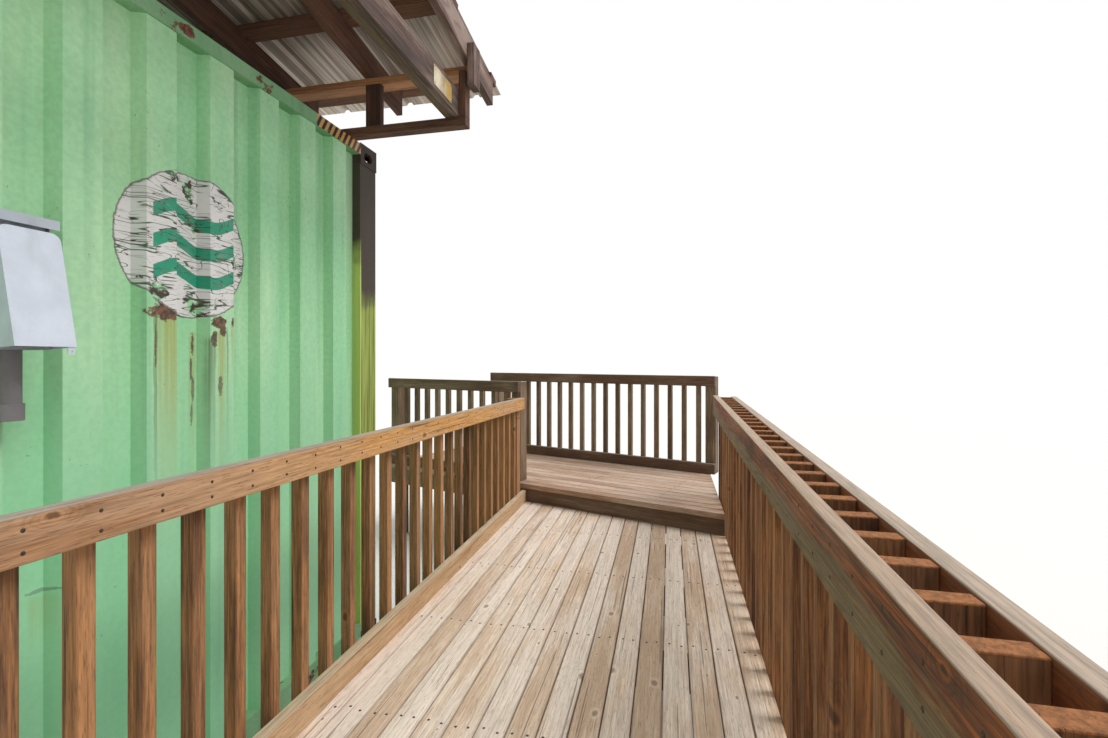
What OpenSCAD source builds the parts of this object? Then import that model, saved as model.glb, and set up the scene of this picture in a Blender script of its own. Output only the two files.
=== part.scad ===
// Shipping container cabin with a lean-to sheet roof, a boarded ramp, a step and a landing.
// X runs along the end wall, Y into the container, Z up from the ground.

/* [Container] */
// Length over the corner castings
box_l = 12192; // [9000:1:12192]
// Width over the corner castings
box_w = 2438; // [2400:1:2500]
// Height over the corner castings
box_h = 2896; // [2591:1:2896]
// Thickness of the wall and roof sheet
skin_t = 2; // [1.6:0.1:3]
// Pitch of the ribs in the end wall
end_pitch = 250; // [240:1:255]
// Width of a proud flat in the end wall
end_flat = 110; // [90:1:120]
// Depth of the ribs in the end wall
end_depth = 45.6; // [20:0.1:50]
// Pitch of the ribs in the side walls
side_pitch = 278; // [270:1:290]
// Depth of the ribs in the side walls
side_depth = 36; // [20:1:40]
// Thickness of the plywood floor
floor_t = 28; // [18:1:30]

/* [Canopy] */
// Slope of the sheet roof, down towards the ramp's landing
roof_slope = 8; // [4:0.5:10]
// Overhang of the roof in front of the end wall
roof_front = 692; // [500:1:800]
// Top of the eave plate on the low side
eave_z = 3214; // [3180:1:3250]
// Pitch of the rafters
rafter_pitch = 585; // [560:5:620]
// Pitch of the ribs in the roof sheet
rib_pitch = 228.6; // [200:0.1:250]

/* [Timber] */
// Thickness of a dressed board
board_t = 38; // [35:1:40]
// Width of a narrow board
board_w = 89; // [85:1:92]
// Width of a wide board
plank_w = 140; // [135:1:145]
// Pitch of the deck boards
deck_pitch = 94; // [92:0.5:97]
// Pitch of the square balusters
baluster_pitch = 130; // [115:1:150]

/* [Outlet box] */
// Width of the outlet box's cover
outlet_w = 138; // [120:1:260]
// Height of the outlet box
outlet_h = 350; // [300:1:400]
// Gap between the cover and the box
outlet_gap = 5; // [5:0.5:8]

/* [Ramp and landing] */
// Deck surface at the step
ramp_z = 539; // [500:1:580]
// Slope of the ramp, up towards the step
ramp_slope = 0.65; // [0:0.05:2]
// Near end of the ramp, along the end wall from its middle
ramp_x = -1300; // [-1500:10:-1100]
// Landing surface
landing_z = 677; // [650:1:700]
// Skew of the landing against the ramp
landing_skew = 19.3; // [10:0.1:22]
// Depth of the landing up to its far railing
landing_d = 1115; // [1000:5:1300]

/* [Hidden] */

$fn = 32;

green = [0.56, 0.78, 0.60];
rust_brown = [0.36, 0.24, 0.17];
timber = [0.55, 0.42, 0.30];
dark_timber = [0.30, 0.19, 0.13];
grey_timber = [0.60, 0.55, 0.50];
zinc = [0.70, 0.71, 0.72];
grey_shell = [0.72, 0.76, 0.80];

// Container frame
half_w = box_w / 2;
cast_w = 162;
cast_l = 178;
cast_h = 118;
cast_top_slot = [124, 63.5];
cast_side_slot = [79.4, 51];
cast_top_t = 28;
cast_side_t = 16;
cast_in_t = 14;
cast_floor_t = 12;
slot_in = 89;
post_w = cast_w;
post_d = cast_l;
post_t = 6;
post_in = 4;
post_flange = 60;
rail_s = 60;
rail_t = 4;
rail_top = box_h - 6;
wall_top = rail_top - rail_s;
sill_z = 16;
sill_h = 150;
sill_d = 58;
wall_in = 8;
wall_bottom = sill_z + sill_h;
rear_y = box_l;
jamb_w = 112;
jamb_d = 118;
door_face = rear_y - 100;
side_y0 = post_d;
side_y1 = box_l - post_d;
floor_top = wall_bottom + 14;
cross_h = 122;
cross_pitch = 305;
cross_z = floor_top - floor_t - cross_h;
cross_w = 45;
cross_t = 4;

// Play between pieces that touch
fit = 0.1;

// Canopy
bearer_t = 45;
bearer_w = 64;
bearer_x = 958;
bearer_top = rail_top + bearer_t;
plate_x = 990;
end_beam_y = -634;
canopy_y0 = -roof_front;
rafter_n = round((box_l + roof_front) / rafter_pitch) + 1;
canopy_y1 = canopy_y0 + (rafter_n - 1) * rafter_pitch + board_t;
rafter_x = 1336;
purlin_x = [257, 770, 1345];
sheet_x0 = -1505;
sheet_x1 = 1515;
sheet_y0 = canopy_y0 + 12;
rib_h = 19;
sheet_t = 0.5;

// Outlet box, with its zero at the left end of its bottom edge
outlet_x = -641;
outlet_z = 1688;
outlet_t = 2;
outlet_d = 66;
hinge_y = -80;
hinge_z = outlet_h - 42;
hinge_r = 2;
cover_top_y = -90;
cover_back = 40;
cover_d = 150;

// Ramp and landing
ramp_n = 16;
joist_n = 6;
joist_pitch = 610;
rail_y = -600;
deck_y1 = rail_y + board_t;
deck_y0 = deck_y1 - (ramp_n - 1) * deck_pitch - board_w;
corner_x = 1893;
corner_y = -2080;
landing_w1 = 3200;
landing_nose = 12;
landing_n = floor((landing_d + 2 * board_t + 40) / deck_pitch);
landing_far = (landing_n - 1) * deck_pitch + board_w - landing_nose;
left_rail_near = 1388;
left_rail_far = 1366;
right_rail_near = 1318;
right_rail_far = 1400;
far_rail_z = 1523;
side_rail_z = 1488;
far_w0 = 384;
far_w1 = 2831;
side_w0 = 1655;

// The origin is the middle of the model's footprint, on the ground.
function land_x(w, d) = corner_x + w * sin(landing_skew) + d * cos(landing_skew);
low_x = sheet_x0;
high_x = land_x(landing_w1, landing_far);
low_y = deck_y0 - fit - board_w - 2 * board_t;
high_y = max(canopy_y1, rear_y);

function roof_z(x) = eave_z + (plate_x - x) * tan(roof_slope);
function deck_z(x) = ramp_z - (2400 - x) * tan(ramp_slope);
function lerp(a, b, t) = a + (b - a) * t;
function edge_x(y) = corner_x + (y - corner_y) * tan(landing_skew);
function landing_w0(d) = (deck_y0 + 6 - corner_y + d * sin(landing_skew)) / cos(landing_skew);
function left_rail_z(x) = lerp(left_rail_near, left_rail_far, (x + 970) / 3260);
function right_rail_z(x) = lerp(right_rail_near, right_rail_far, (x + 1050) / 3450);

// Building blocks
module box(x0, y0, z0, x1, y1, z1) {
    translate([x0, y0, z0]) cube([x1 - x0, y1 - y0, z1 - z0]);
}

// A board on edge in the XZ plane, sheared from (x0, z0) to (x1, z1), with its width upwards
module raked(x0, z0, x1, z1, y, t, h) {
    translate([0, y + t, 0]) rotate([90, 0, 0]) linear_extrude(t)
        polygon([[x0, z0], [x1, z1], [x1, z1 + h], [x0, z0 + h]]);
}

// Points of n ribs in a sheet at level d0, each with its crest at level d1
function ribs(n, pitch, start, foot, crest, d0, d1) = [for (i = [0 : n - 1], k = [0 : 3])
    let (middle = start + (i + 0.5) * pitch)
    [middle + [-foot, -crest, crest, foot][k] / 2, (k == 1 || k == 2) ? d1 : d0]];

// A folded sheet of thickness t that follows the points
module fold(pts, t) {
    back = [for (i = [len(pts) - 1 : -1 : 0]) [pts[i][0], pts[i][1] + t]];
    polygon(concat(pts, back));
}

module tube_rail(l, w, h, t) {
    difference() {
        cube([w, l, h]);
        translate([t, -1, t]) cube([w - 2 * t, l + 2, h - 2 * t]);
    }
}

module in_place() {
    translate([-(low_x + high_x) / 2, -(low_y + high_y) / 2, 0]) children();
}

module on_landing() {
    translate([corner_x, corner_y, 0]) rotate([0, 0, 90 - landing_skew]) children();
}

// Container
module front_wall() {
    count = 8;
    valley = 104;
    edge = half_w - post_w;
    pts = concat([[-edge, end_depth]], ribs(count, end_pitch, -count * end_pitch / 2,
        end_pitch - valley, end_flat, end_depth, 0), [[edge, end_depth]]);
    color(green) translate([0, wall_in, wall_bottom])
        linear_extrude(wall_top - wall_bottom) fold(pts, skin_t);
}

module side_wall() {
    crest = 72;
    valley = 70;
    length = side_y1 - side_y0;
    n = floor((length - crest) / side_pitch);
    pts = concat([[0, side_depth]], ribs(n, side_pitch, (length - n * side_pitch) / 2,
        side_pitch - valley, crest, side_depth, 0), [[length, side_depth]]);
    translate([0, side_y0, wall_bottom]) linear_extrude(wall_top - wall_bottom)
        mirror([1, 0]) rotate(90) fold(pts, skin_t);
}

module left_wall() {
    color(green) translate([-half_w + 6, 0, 0]) side_wall();
}

module right_wall() {
    color(green) mirror([1, 0, 0]) translate([-half_w + 6, 0, 0]) side_wall();
}

module roof_panel() {
    pitch = 209;
    flat = 91;
    length = side_y1 - side_y0;
    n = floor(length / pitch) - 1;
    pts = concat([[0, 0]], ribs(n, pitch, (length - n * pitch) / 2, pitch - flat, flat, 0, -20),
        [[length, 0]]);
    color(green) translate([-half_w + rail_s, side_y0, rail_top - skin_t])
        rotate([90, 0, 90]) linear_extrude(box_w - 2 * rail_s) fold(pts, skin_t);
}

module front_header() {
    color(green) {
        translate([-half_w + cast_w, 0, rail_top - rail_s]) rotate([0, 0, -90])
            translate([-rail_s, 0, 0]) tube_rail(box_w - 2 * cast_w, rail_s, rail_s, rail_t);
        box(-half_w + cast_w, rail_s, rail_top - 4, half_w - cast_w, side_y0, rail_top);
    }
}

module front_sill() {
    color(green) difference() {
        box(-half_w + cast_w, 0, sill_z, half_w - cast_w, sill_d, sill_z + sill_h);
        box(-half_w + cast_w - 1, 5, sill_z + 5, half_w - cast_w + 1, sill_d + 1, sill_z + sill_h - 5);
    }
}

module front_post() {
    inner = post_in + post_t;
    flange = wall_in + end_depth + skin_t;
    linear_extrude(box_h - 2 * cast_h) polygon([[post_in, post_in], [post_w, post_in],
        [post_w, flange], [post_w - post_t, flange], [post_w - post_t, inner], [inner, inner],
        [inner, post_d - post_t], [post_flange, post_d - post_t], [post_flange, post_d],
        [post_in, post_d]]);
}

module front_posts() {
    for (s = [0, 1]) mirror([s, 0, 0])
        color(rust_brown) translate([-half_w, 0, cast_h]) front_post();
}

// Open section with a jamb beside the door and a stop behind it
module rear_post() {
    linear_extrude(box_h - 2 * cast_h) polygon([[post_in, 0], [post_flange, 0], [post_flange, post_t],
        [post_in + post_t, post_t], [post_in + post_t, jamb_d - post_t],
        [jamb_w - post_t, jamb_d - post_t], [jamb_w - post_t, 20], [150, 20], [150, 20 + post_t],
        [jamb_w, 20 + post_t], [jamb_w, jamb_d], [post_in, jamb_d]]);
}

module rear_posts() {
    for (s = [0, 1]) mirror([s, 0, 0])
        color(green) translate([-half_w, rear_y - post_d, cast_h]) rear_post();
}

module door_header() {
    h = cast_h - 6;
    color(green) difference() {
        box(-half_w + cast_w, rear_y - post_d, rail_top - h, half_w - cast_w, door_face, rail_top);
        box(-half_w + cast_w - 1, rear_y - post_d + 4, rail_top - h + 4, half_w - cast_w + 1,
            door_face - 4, rail_top - 4);
    }
}

module door_sill() {
    color(green) difference() {
        box(-half_w + cast_w, rear_y - post_d + 18, sill_z, half_w - cast_w, door_face,
            sill_z + sill_h);
        box(-half_w + cast_w - 1, rear_y - post_d + 17, sill_z + 5, half_w - cast_w + 1,
            door_face - 6, sill_z + sill_h - 5);
    }
}

module top_rails() {
    for (s = [0, 1]) mirror([s, 0, 0])
        color(green) translate([-half_w + 6, cast_l, rail_top - rail_s])
            tube_rail(box_l - 2 * cast_l, rail_s - 6, rail_s, rail_t);
}

module bottom_rails() {
    for (s = [0, 1]) mirror([s, 0, 0])
        color(green) translate([-half_w + 6, cast_l, sill_z]) difference() {
            cube([48, box_l - 2 * cast_l, sill_h]);
            translate([4.5, -1, 4.5]) cube([50, box_l - 2 * cast_l + 2, sill_h - 9]);
        }
}

// A slotted hole through the origin, size[0] long on X and size[1] wide
module slot(size, depth) {
    flat = size[0] - size[1];
    for (s = [-1, 1]) translate([s * flat / 2, 0, 0]) cylinder(d = size[1], h = depth, center = true);
    cube([flat, size[1], depth], center = true);
}

// Corner casting with its outer corner at the origin and its slotted face up
module casting() {
    difference() {
        translate([0, 0, -cast_h]) cube([cast_w, cast_l, cast_h]);
        translate([cast_side_t, cast_side_t, cast_floor_t - cast_h])
            cube([cast_w - cast_side_t - cast_in_t, cast_l - cast_side_t - cast_in_t,
                cast_h - cast_floor_t - cast_top_t]);
        translate([slot_in, slot_in + 12.5, -cast_top_t / 2]) rotate([0, 0, 90])
            slot(cast_top_slot, cast_top_t + 12);
        translate([slot_in, 0, -cast_h / 2 - 6]) rotate([90, 0, 0]) slot(cast_side_slot, 60);
        translate([0, slot_in, -cast_h / 2 - 6]) rotate([90, 0, 90]) slot(cast_side_slot, 60);
    }
}

module castings_at(z, flip) {
    for (s = [0, 1], r = [0, 1]) mirror([s, 0, 0]) translate([0, r * box_l, 0]) mirror([0, r, 0])
        translate([-half_w, 0, z]) mirror([0, 0, flip]) casting();
}

module top_castings() {
    color(rust_brown) castings_at(box_h, 0);
}

module bottom_castings() {
    color(rust_brown) castings_at(0, 1);
}

module crossmembers() {
    n = floor((box_l - 2 * 260) / cross_pitch);
    first = (box_l - n * cross_pitch) / 2;
    w = box_w - 2 * (6 + 48);
    color(rust_brown) for (i = [0 : n]) translate([-w / 2, first + i * cross_pitch - 22, cross_z])
        rotate([90, 0, 90]) linear_extrude(w) polygon([[0, 0], [cross_w, 0], [cross_w, cross_t],
            [cross_t, cross_t], [cross_t, cross_h - cross_t], [cross_w, cross_h - cross_t],
            [cross_w, cross_h], [0, cross_h]]);
}

module floor_boards() {
    y0 = sill_d + 2;
    y1 = rear_y - post_d + 16;
    sheet_l = (y1 - y0) / 5;
    half = half_w - 62;
    color(timber) for (i = [0 : 4], s = [0, 1]) mirror([s, 0, 0]) difference() {
        box(1, y0 + i * sheet_l + 1, floor_top - floor_t, half, y0 + (i + 1) * sheet_l - 1, floor_top);
        for (y = [0, rear_y - post_d - 1])
            box(half_w - post_w - 1, y, floor_top - floor_t - 1, half_w, y + post_d + 1, floor_top + 1);
    }
}

// Cargo doors at the far end, each a box frame round a ribbed panel
door_z0 = sill_z + sill_h + 4;
door_z1 = rail_top - cast_h + 2;
door_half = half_w - jamb_w - 10;
door_t = 50;
door_frame = 100;
door_w = door_half - 6;
panel_ribs = 4;
panel_pitch = (door_w - 2 * door_frame) / panel_ribs;

module door_leaf() {
    h = door_z1 - door_z0 - 8;
    inner = door_w - 2 * door_frame;
    pts = concat([[0, 0]], ribs(panel_ribs, panel_pitch, 0, 0.6 * panel_pitch, 0.24 * panel_pitch,
        0, side_depth), [[inner, 0]]);
    translate([3, door_face - door_t, door_z0 + 4]) {
        for (x = [0, door_w - door_frame]) translate([x, 0, 0]) difference() {
            cube([door_frame, door_t, h]);
            translate([3, 3, -1]) cube([door_frame - 6, door_t - 6, h + 2]);
        }
        for (z = [0, h - 120]) translate([door_frame, 0, z]) difference() {
            cube([inner, door_t, 120]);
            translate([-1, -1, 4]) cube([inner + 2, door_t - 3, 112]);
        }
        translate([door_frame, door_t - side_depth - skin_t, 120]) linear_extrude(h - 240)
            fold(pts, skin_t);
    }
}

module left_door() {
    color(green) mirror([1, 0, 0]) door_leaf();
}

module right_door() {
    color(green) door_leaf();
}

rod_x = [for (i = [0, panel_ribs - 1]) 3 + door_frame + (i + 0.5) * panel_pitch];
rod_r = 17;
rod_out = 34;
rod_z0 = sill_z + 60;
rod_z1 = box_h - 60;

module each_rod() {
    for (s = [0, 1], x = rod_x) mirror([s, 0, 0]) translate([x, door_face + rod_out, 0]) children();
}

module lock_rods() {
    color(zinc) each_rod() {
        translate([0, 0, rod_z0]) difference() {
            cylinder(r = rod_r, h = rod_z1 - rod_z0);
            translate([0, 0, -1]) cylinder(r = rod_r - 3, h = rod_z1 - rod_z0 + 2);
        }
        for (z = [rod_z0 - 6, rod_z1 - 34]) translate([0, 0, z]) difference() {
            linear_extrude(40) polygon([[-22, -22], [22, -22], [30, 4], [12, 24], [-12, 24], [-30, 4]]);
            translate([0, 0, -1]) cylinder(r = rod_r, h = 42);
        }
    }
}

// Guides on the doors, and pairs of cheeks for the cams on the header and the sill
module rod_brackets() {
    levels = [door_z0 + 160, door_z0 + 760, door_z0 + 1500, door_z1 - 220];
    color(zinc) each_rod() {
        for (z = levels) translate([0, 0, z]) difference() {
            union() {
                cylinder(r = rod_r + 9, h = 46);
                translate([-26, -rod_out, 0]) cube([52, rod_out, 46]);
            }
            translate([0, 0, -1]) cylinder(r = rod_r + 0.5, h = 48);
        }
        for (z = [rod_z0 - 16, rod_z1 - 44], x = [-46, 36])
            translate([x, -rod_out, z]) cube([10, 54, 60]);
    }
}

module handle(reach) {
    difference() {
        union() {
            cylinder(r = rod_r + 7, h = 60);
            translate([-18, rod_r, 12]) cube([36, 22, 36]);
        }
        translate([0, 0, -1]) cylinder(r = rod_r + 0.5, h = 62);
    }
    mirror([reach < 0 ? 1 : 0, 0, 0]) {
        translate([-6, rod_r + 22, 14]) cube([abs(reach) + 20, 10, 32]);
        translate([abs(reach) - 25, -rod_out, -30]) cube([50, 6, 120]);
        translate([abs(reach) - 7, 6 - rod_out, -10]) cube([14, rod_out + rod_r + 16, 24]);
    }
}

module door_handles() {
    reach = 2 * panel_pitch;
    color(zinc) for (s = [0, 1]) mirror([s, 0, 0]) {
        translate([rod_x[0], door_face + rod_out, door_z0 + 1060]) handle(reach);
        translate([rod_x[1], door_face + rod_out, door_z0 + 880]) handle(-reach);
    }
}

// Each hinge has a blade on the door and a lug on the jamb, both on one pin
module door_hinges() {
    count = 4;
    step = (door_z1 - door_z0 - 440) / (count - 1);
    pin_r = 10;
    blade = 130;
    color(zinc) for (s = [0, 1], i = [0 : count - 1]) mirror([s, 0, 0])
        translate([half_w - jamb_w - 19, door_face + 18, door_z0 + 180 + i * step]) {
            difference() {
                union() {
                    cylinder(r = rod_r, h = 44);
                    translate([-blade, -18, 0]) cube([blade, 12, 44]);
                }
                translate([0, 0, -1]) cylinder(r = pin_r + 0.3, h = 46);
            }
            difference() {
                union() {
                    translate([0, 0, 45]) cylinder(r = rod_r, h = 24);
                    translate([0, -12, 45]) cube([19, 24, 24]);
                }
                translate([0, 0, 44]) cylinder(r = pin_r, h = 26);
            }
            translate([0, 0, -8]) cylinder(r = pin_r, h = 84);
        }
}

// Canopy on top of the container
module canopy_bearers() {
    color(dark_timber) for (s = [0, 1]) mirror([s, 0, 0])
        box(bearer_x, end_beam_y - board_t, rail_top, bearer_x + bearer_w, rear_y, bearer_top);
}

// Two boards side by side across the bearers, in front of the end wall
module canopy_end_beam() {
    color(grey_timber) for (y = [end_beam_y, end_beam_y + board_t])
        box(-bearer_x - bearer_w, y, bearer_top, bearer_x + bearer_w, y + board_t, bearer_top + plank_w);
}

// Posts stand on a bearer, at its free end and under every second rafter, up to the plate
module canopy_post_row(side) {
    top = roof_z(side < 0 ? -plate_x - board_w : plate_x) - board_t;
    mirror([side < 0 ? 1 : 0, 0, 0]) {
        box(bearer_x, end_beam_y - board_t, bearer_top, bearer_x + bearer_w, end_beam_y, top);
        for (i = [1 : 2 : rafter_n - 1])
            let (x1 = bearer_x + bearer_w, y1 = min(canopy_y0 + i * rafter_pitch + 30, rear_y))
            box(x1 - board_t, y1 - board_w, bearer_top, x1, y1, top);
    }
}

module canopy_posts_left() {
    color(dark_timber) canopy_post_row(-1);
}

module canopy_posts_right() {
    color(dark_timber) canopy_post_row(1);
}

// Flat plates on the posts, level under the rafters' notches
module canopy_eave_plates() {
    color(dark_timber) for (x = [-plate_x - board_w, plate_x])
        box(x, canopy_y0, roof_z(x) - board_t, x + board_w, canopy_y1, roof_z(x));
}

// A rafter with plumb ends and a level notch over each plate
module rafter() {
    notch = [for (x = [-plate_x - board_w, plate_x], p = [[0, 0], [board_w, 0], [board_w, board_w]])
        [x + p[0], roof_z(x + p[1])]];
    top = plank_w / cos(roof_slope);
    translate([0, board_t, 0]) rotate([90, 0, 0]) linear_extrude(board_t)
        polygon(concat([[-rafter_x, roof_z(-rafter_x)]], notch, [[rafter_x, roof_z(rafter_x)],
            [rafter_x, roof_z(rafter_x) + top], [-rafter_x, roof_z(-rafter_x) + top]]));
}

module canopy_rafters() {
    color(dark_timber) for (i = [1 : rafter_n - 1])
        translate([0, canopy_y0 + i * rafter_pitch, 0]) rafter();
}

// The first rafter shows from outside and has a short cleat over each plate's end
module canopy_fascia() {
    cleat_h = 217;
    cleat_up = 83;
    cleat_in = 15;
    color(grey_timber) {
        translate([0, canopy_y0, 0]) rafter();
        for (s = [-1, 1])
            let (x = s * plate_x - board_w / 2 - cleat_in, top = roof_z(s * plate_x) + cleat_up)
            box(x, canopy_y0 - board_t, top - cleat_h, x + board_w, canopy_y0, top);
    }
}

// Moves its children onto the slope of the roof at x, where z is 0 on top of the rafters
module on_roof(x) {
    translate([x, 0, roof_z(x) + plank_w / cos(roof_slope)]) rotate([0, roof_slope, 0]) children();
}

module canopy_purlins() {
    color(timber) for (s = [-1, 1], x = purlin_x) on_roof(s * x)
        translate([-board_w / 2, canopy_y0, fit]) cube([board_w, canopy_y1 - canopy_y0, board_t]);
}

module canopy_sheet() {
    width = canopy_y1 - sheet_y0;
    n = floor((width - 60) / rib_pitch);
    pts = concat([[0, 0]], ribs(n, rib_pitch, (width - n * rib_pitch) / 2, 48, 20, 0, rib_h),
        [[width, 0]]);
    color(zinc) on_roof(sheet_x0) translate([0, sheet_y0, board_t + 2 * fit])
        rotate([90, 0, 90]) linear_extrude((sheet_x1 - sheet_x0) / cos(roof_slope)) fold(pts, sheet_t);
}

// Outlet box on the end wall
module at_outlet() {
    translate([outlet_x, 0, outlet_z]) children();
}

// An extrusion along X of an outline in Y and Z
module along_x(x0, x1) {
    translate([x0, 0, 0]) rotate([90, 0, 90]) linear_extrude(x1 - x0) children();
}

module rounded(w, h, r_low, r_high) {
    translate([r_low, 0]) square([w - 2 * r_low, h / 2]);
    translate([0, r_low]) square([w, h - r_low - r_high]);
    translate([r_high, h / 2]) square([w - 2 * r_high, h / 2]);
    for (x = [r_low, w - r_low]) translate([x, r_low]) circle(r_low);
    for (x = [r_high, w - r_high]) translate([x, h - r_high]) circle(r_high);
}

// A shell with side noses that hold the hinge pin, a hood over the cover and a round socket inside
module outlet_box() {
    x0 = outlet_gap + outlet_t;
    x1 = outlet_w - x0;
    face = outlet_d - 12;
    color(grey_shell) at_outlet() {
        for (x = [x0, x1 - outlet_t]) along_x(x, x + outlet_t) {
            polygon([[wall_in, 0], [-outlet_d, 0], [-outlet_d, hinge_z - 20], [hinge_y, hinge_z - 4],
                [hinge_y, hinge_z + 4], [-outlet_d, hinge_z + 12], [-outlet_d, outlet_h - outlet_t],
                [wall_in, outlet_h - outlet_t]]);
            translate([hinge_y, hinge_z]) circle(4);
        }
        box(x0, wall_in - outlet_t, 0, x1, wall_in, outlet_h);
        box(x0, -face, 0, x1, outlet_t - face, outlet_h);
        box(x0, -face, 0, x1, wall_in, outlet_t);
        along_x(0, outlet_w) polygon([[wall_in, outlet_h], [wall_in, outlet_h - outlet_t],
            [cover_top_y + outlet_t, outlet_h - outlet_t], [cover_top_y + outlet_t, outlet_h - 26],
            [cover_top_y, outlet_h - 26], [cover_top_y, outlet_h]]);
        translate([x0, hinge_y, hinge_z]) rotate([0, 90, 0]) cylinder(r = hinge_r, h = x1 - x0);
        translate([outlet_w / 2, -face, 110]) rotate([90, 0, 0]) difference() {
            cylinder(d = 66, h = 14);
            for (a = [90 : 120 : 330]) rotate(a) translate([17, 0, 10]) cube([3, 15, 10], center = true);
        }
    }
}

// The cover's form: a side profile cut to a rounded front, inset by d and reaching past its ends by e
module cover_form(d, e) {
    top = hinge_z + 6 + e;
    lean = e * (cover_d + cover_top_y) / (hinge_z - 2);
    intersection() {
        along_x(d, outlet_w - d) polygon([[e - cover_back, -e], [d - cover_d - lean, 8 - e],
            [cover_top_y + d + lean, top], [e - cover_back, top]]);
        translate([d, 0, -e]) rotate([90, 0, 0]) linear_extrude(2 * cover_d)
            rounded(outlet_w - 2 * d, top + e, 6, 22);
    }
}

// A formed cover, open behind, above and below, with a barrel on the pin, a lip and a tab with a hole
module outlet_cover() {
    x0 = 2 * outlet_gap + 2 * outlet_t;
    color(grey_shell) at_outlet() {
        difference() {
            union() {
                difference() {
                    cover_form(0, 0);
                    cover_form(outlet_t, 12);
                }
                box(outlet_t, 1 - cover_d, 8, outlet_w - outlet_t, 14 - cover_d, 8 + outlet_t);
                translate([x0, hinge_y, hinge_z]) rotate([0, 90, 0])
                    cylinder(r = hinge_r + 3, h = outlet_w - 2 * x0);
                box(x0, cover_top_y, hinge_z - 3, outlet_w - x0, hinge_y, hinge_z + 2);
            }
            translate([0, hinge_y, hinge_z]) rotate([0, 90, 0])
                cylinder(r = hinge_r + 2 * fit, h = outlet_w);
        }
        translate([outlet_w - 12, 4 - cover_d, 0]) rotate([90, 0, 0]) difference() {
            translate([-8, -12, 0]) cube([16, 24, outlet_t]);
            translate([0, -4, -1]) cylinder(d = 7, h = outlet_t + 2);
        }
    }
}

module outlet_conduit() {
    color(grey_shell) at_outlet() translate([outlet_w / 2 - 6, -28, -186]) difference() {
        union() {
            cylinder(d = 50, h = 186);
            cylinder(d = 60, h = 45);
        }
        translate([0, 0, -1]) cylinder(d = 42, h = 180);
    }
}

// Ramp
module on_ramp() {
    translate([2400, 0, ramp_z]) rotate([0, -ramp_slope, 0]) translate([-2400, 0, 0]) children();
}

module ramp_boards() {
    color(timber) on_ramp() for (i = [0 : ramp_n - 1])
        let (y0 = deck_y0 + i * deck_pitch, y1 = y0 + board_w)
        translate([0, 0, -board_t]) linear_extrude(board_t) polygon([[ramp_x, y0],
            [edge_x(y0) - 2, y0], [edge_x(y1) - 2, y1], [ramp_x, y1]]);
}

module ramp_frame() {
    color(dark_timber) on_ramp() {
        for (y = [deck_y0, deck_y1 - board_t])
            box(ramp_x, y, -board_t - plank_w, edge_x(y) - 4, y + board_t, -board_t);
        for (i = [0 : joist_n - 1]) let (x = ramp_x + i * joist_pitch)
            box(x, deck_y0 + board_t, -board_t - plank_w, x + board_t, deck_y1 - board_t, -board_t);
    }
}

module deck_posts() {
    back = landing_far - 150;
    front_w = [120, 1560, 3040];
    back_w = [560, 1560, 3040];
    color(grey_timber) {
        for (x = [ramp_x + 120, 300, 1600], y = [deck_y0 + board_t, deck_y1 - board_t - board_w])
            box(x, y, 0, x + board_w, y + board_w, deck_z(x) - board_t - 1);
        on_landing() for (row = [[front_w, board_t], [back_w, back]], w = row[0])
            box(w, -row[1] - board_w, 0, w + board_w, -row[1], landing_z - board_t - 1);
    }
}

module ramp_curb() {
    color(timber) {
        raked(ramp_x, deck_z(ramp_x), edge_x(rail_y) - 2, deck_z(edge_x(rail_y)), rail_y, board_t, board_w);
    }
}

// Rail on the deck's side of square balusters that run down past the edge of the deck
module left_railing() {
    x1 = 2360;
    color(timber) {
        raked(ramp_x, left_rail_z(ramp_x) - board_w, x1, left_rail_z(x1) - board_w, rail_y, board_t,
            board_w);
        for (x = [ramp_x + 115 : baluster_pitch : x1 - 110])
            box(x, deck_y1, deck_z(x) - 120, x + board_t, deck_y1 + board_t, left_rail_z(x) - 12);
        for (x = [ramp_x + 10, x1 - board_w])
            box(x, deck_y1, deck_z(x) - 170, x + board_w, deck_y1 + board_w, left_rail_z(x) - 4);
    }
}

// Two rails with wide balusters between them, and a lower board outside the near half
module right_railing() {
    x1 = 2420;
    loose_x1 = 600;
    inner_y = deck_y0 - fit;
    outer_y = inner_y - board_w - board_t;
    color(timber) {
        raked(ramp_x, right_rail_z(ramp_x) - plank_w, x1, right_rail_z(x1) - plank_w,
            inner_y, board_t, plank_w);
        raked(ramp_x, right_rail_z(ramp_x) - board_w - 6, x1, right_rail_z(x1) - board_w - 6,
            outer_y, board_t, board_w);
        raked(ramp_x, right_rail_z(ramp_x) - board_w - 50, loose_x1,
            right_rail_z(loose_x1) - board_w - 50, outer_y - board_t, board_t, board_w);
        for (x = [ramp_x + 30 : baluster_pitch : x1 - 50])
            box(x, inner_y - board_w, deck_z(x) - 170, x + board_t, inner_y, right_rail_z(x) - 10);
    }
}

// Step and landing, both skewed against the ramp; the landing ends at the right railing
module step_riser() {
    color(grey_timber) on_landing()
        box(landing_w0(0), -board_t, ramp_z - 60, 1600, 0, landing_z - board_t);
}

module landing_boards() {
    color(timber) on_landing() for (i = [0 : landing_n - 1])
        let (d0 = i * deck_pitch - landing_nose, d1 = d0 + board_w)
        translate([0, 0, landing_z - board_t]) linear_extrude(board_t)
            polygon([[landing_w0(d0), -d0], [landing_w1, -d0], [landing_w1, -d1], [landing_w0(d1), -d1]]);
}

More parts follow.
